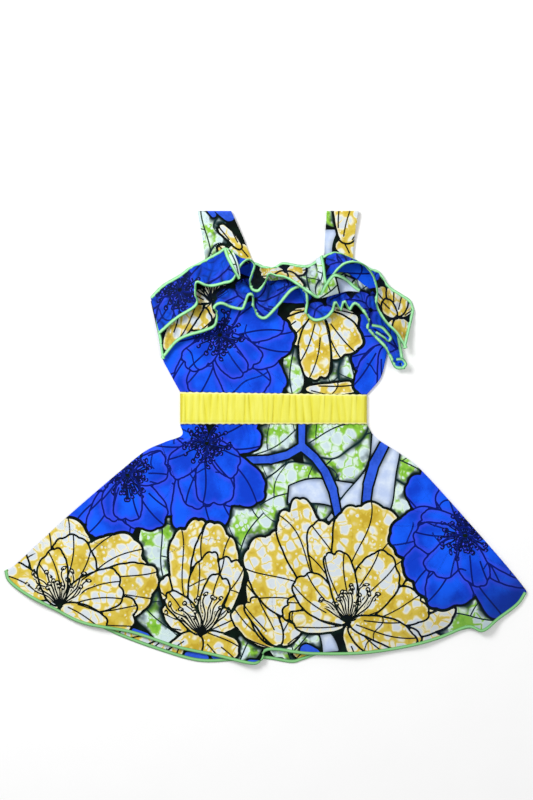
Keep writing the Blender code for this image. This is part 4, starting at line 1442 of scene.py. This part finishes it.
ruffle_thread = thread_material("ruffle_thread", MINT, MINT_FIBRE_AND_PAINTED_HIGHLIGHT, MINT_PAINTED_SHADE)
ruffle_lower, lower_middle, lower_top = make_ruffle(
    "ruffle_lower", LOWER_RUFFLE, [bodice_top], [bodice_top], LOWER_FLOWERS, LOWER_BLADES
)
seam = [bodice_top, *strap_tops]
ruffle_upper, upper_middle, upper_top = make_ruffle(
    "ruffle_upper", UPPER_RUFFLE, seam, [*seam, lower_top], UPPER_FLOWERS, UPPER_BLADES
)
lower_edges = edge_threads("ruffle_lower", lower_middle, ["bottom", "left", "right"])
upper_edges = edge_threads("ruffle_upper", upper_middle, ["bottom", "top", "right"])
for name, (table, blades) in RUFFLE_FOLDS.items():
    edges = upper_edges if "upper" in name else lower_edges
    edges.extend(ruffle_fold(name, table, blades))

# ---------------------------------------------------------------------------------------------
# The table and the studio: a plain pale top, two large soft lamps and a white room, seen from
# straight above.
TABLE_LEVEL = -0.4
TABLE_HALF = 4000
ROOM_LIGHT = 0.54
# Metres of table from the lower to the upper edge of the camera's view, and the camera's place
VIEW_HEIGHT = 0.928
CAMERA_PLACE = (0.00116, 0.0432, 2.2)
SENSOR = 36.0


def table_material():
    """Matt white board with the faintest mottling."""
    made, tree, shader = new_material("table_top")
    mottle = noise(new_node(tree, "TexCoord", {}).outputs["Object"], 0.05)
    set_inputs(shader, {
        "Base Color": paint(mottle, (0.93, 0.93, 0.93), (0.95, 0.95, 0.95)),
        "Roughness": 0.9,
        "Specular IOR Level": 0.1,
    })
    return made


def lamp(name, place, size, power):
    """A square soft lamp that faces the dress."""
    light = bpy.data.lights.new(name, "AREA")
    light.size = size
    light.energy = power
    made = bpy.data.objects.new(name, light)
    made.location = place
    made.rotation_euler = (-made.location).to_track_quat("-Z", "Y").to_euler()
    bpy.context.scene.collection.objects.link(made)


corners = np.array([(-1, -1), (1, -1), (1, 1), (-1, 1)]) * float(TABLE_HALF)
corners = at_height(corners[None], TABLE_LEVEL)[0]
table_top = add_mesh("table_top", corners, np.array([[0, 1, 2, 3]]), table_material())
lamp("lamp_left", (-0.70, 0.80, 1.15), 0.6, 18.0)
lamp("lamp_right", (1.5, 0.2, 2.2), 1.6, 14.0)

world = bpy.data.worlds.new("white_room")
world.use_nodes = True
set_inputs(world.node_tree.nodes["Background"], {"Color": (1, 1, 1, 1), "Strength": ROOM_LIGHT})
bpy.context.scene.world = world
bpy.context.scene.view_settings.view_transform = "Standard"

camera_data = bpy.data.cameras.new("camera")
camera_data.sensor_fit = "VERTICAL"
camera_data.sensor_height = SENSOR
camera_data.lens = SENSOR * CAMERA_PLACE[2] / VIEW_HEIGHT
camera = bpy.data.objects.new("camera", camera_data)
camera.location = CAMERA_PLACE
bpy.context.scene.collection.objects.link(camera)
bpy.context.scene.camera = camera
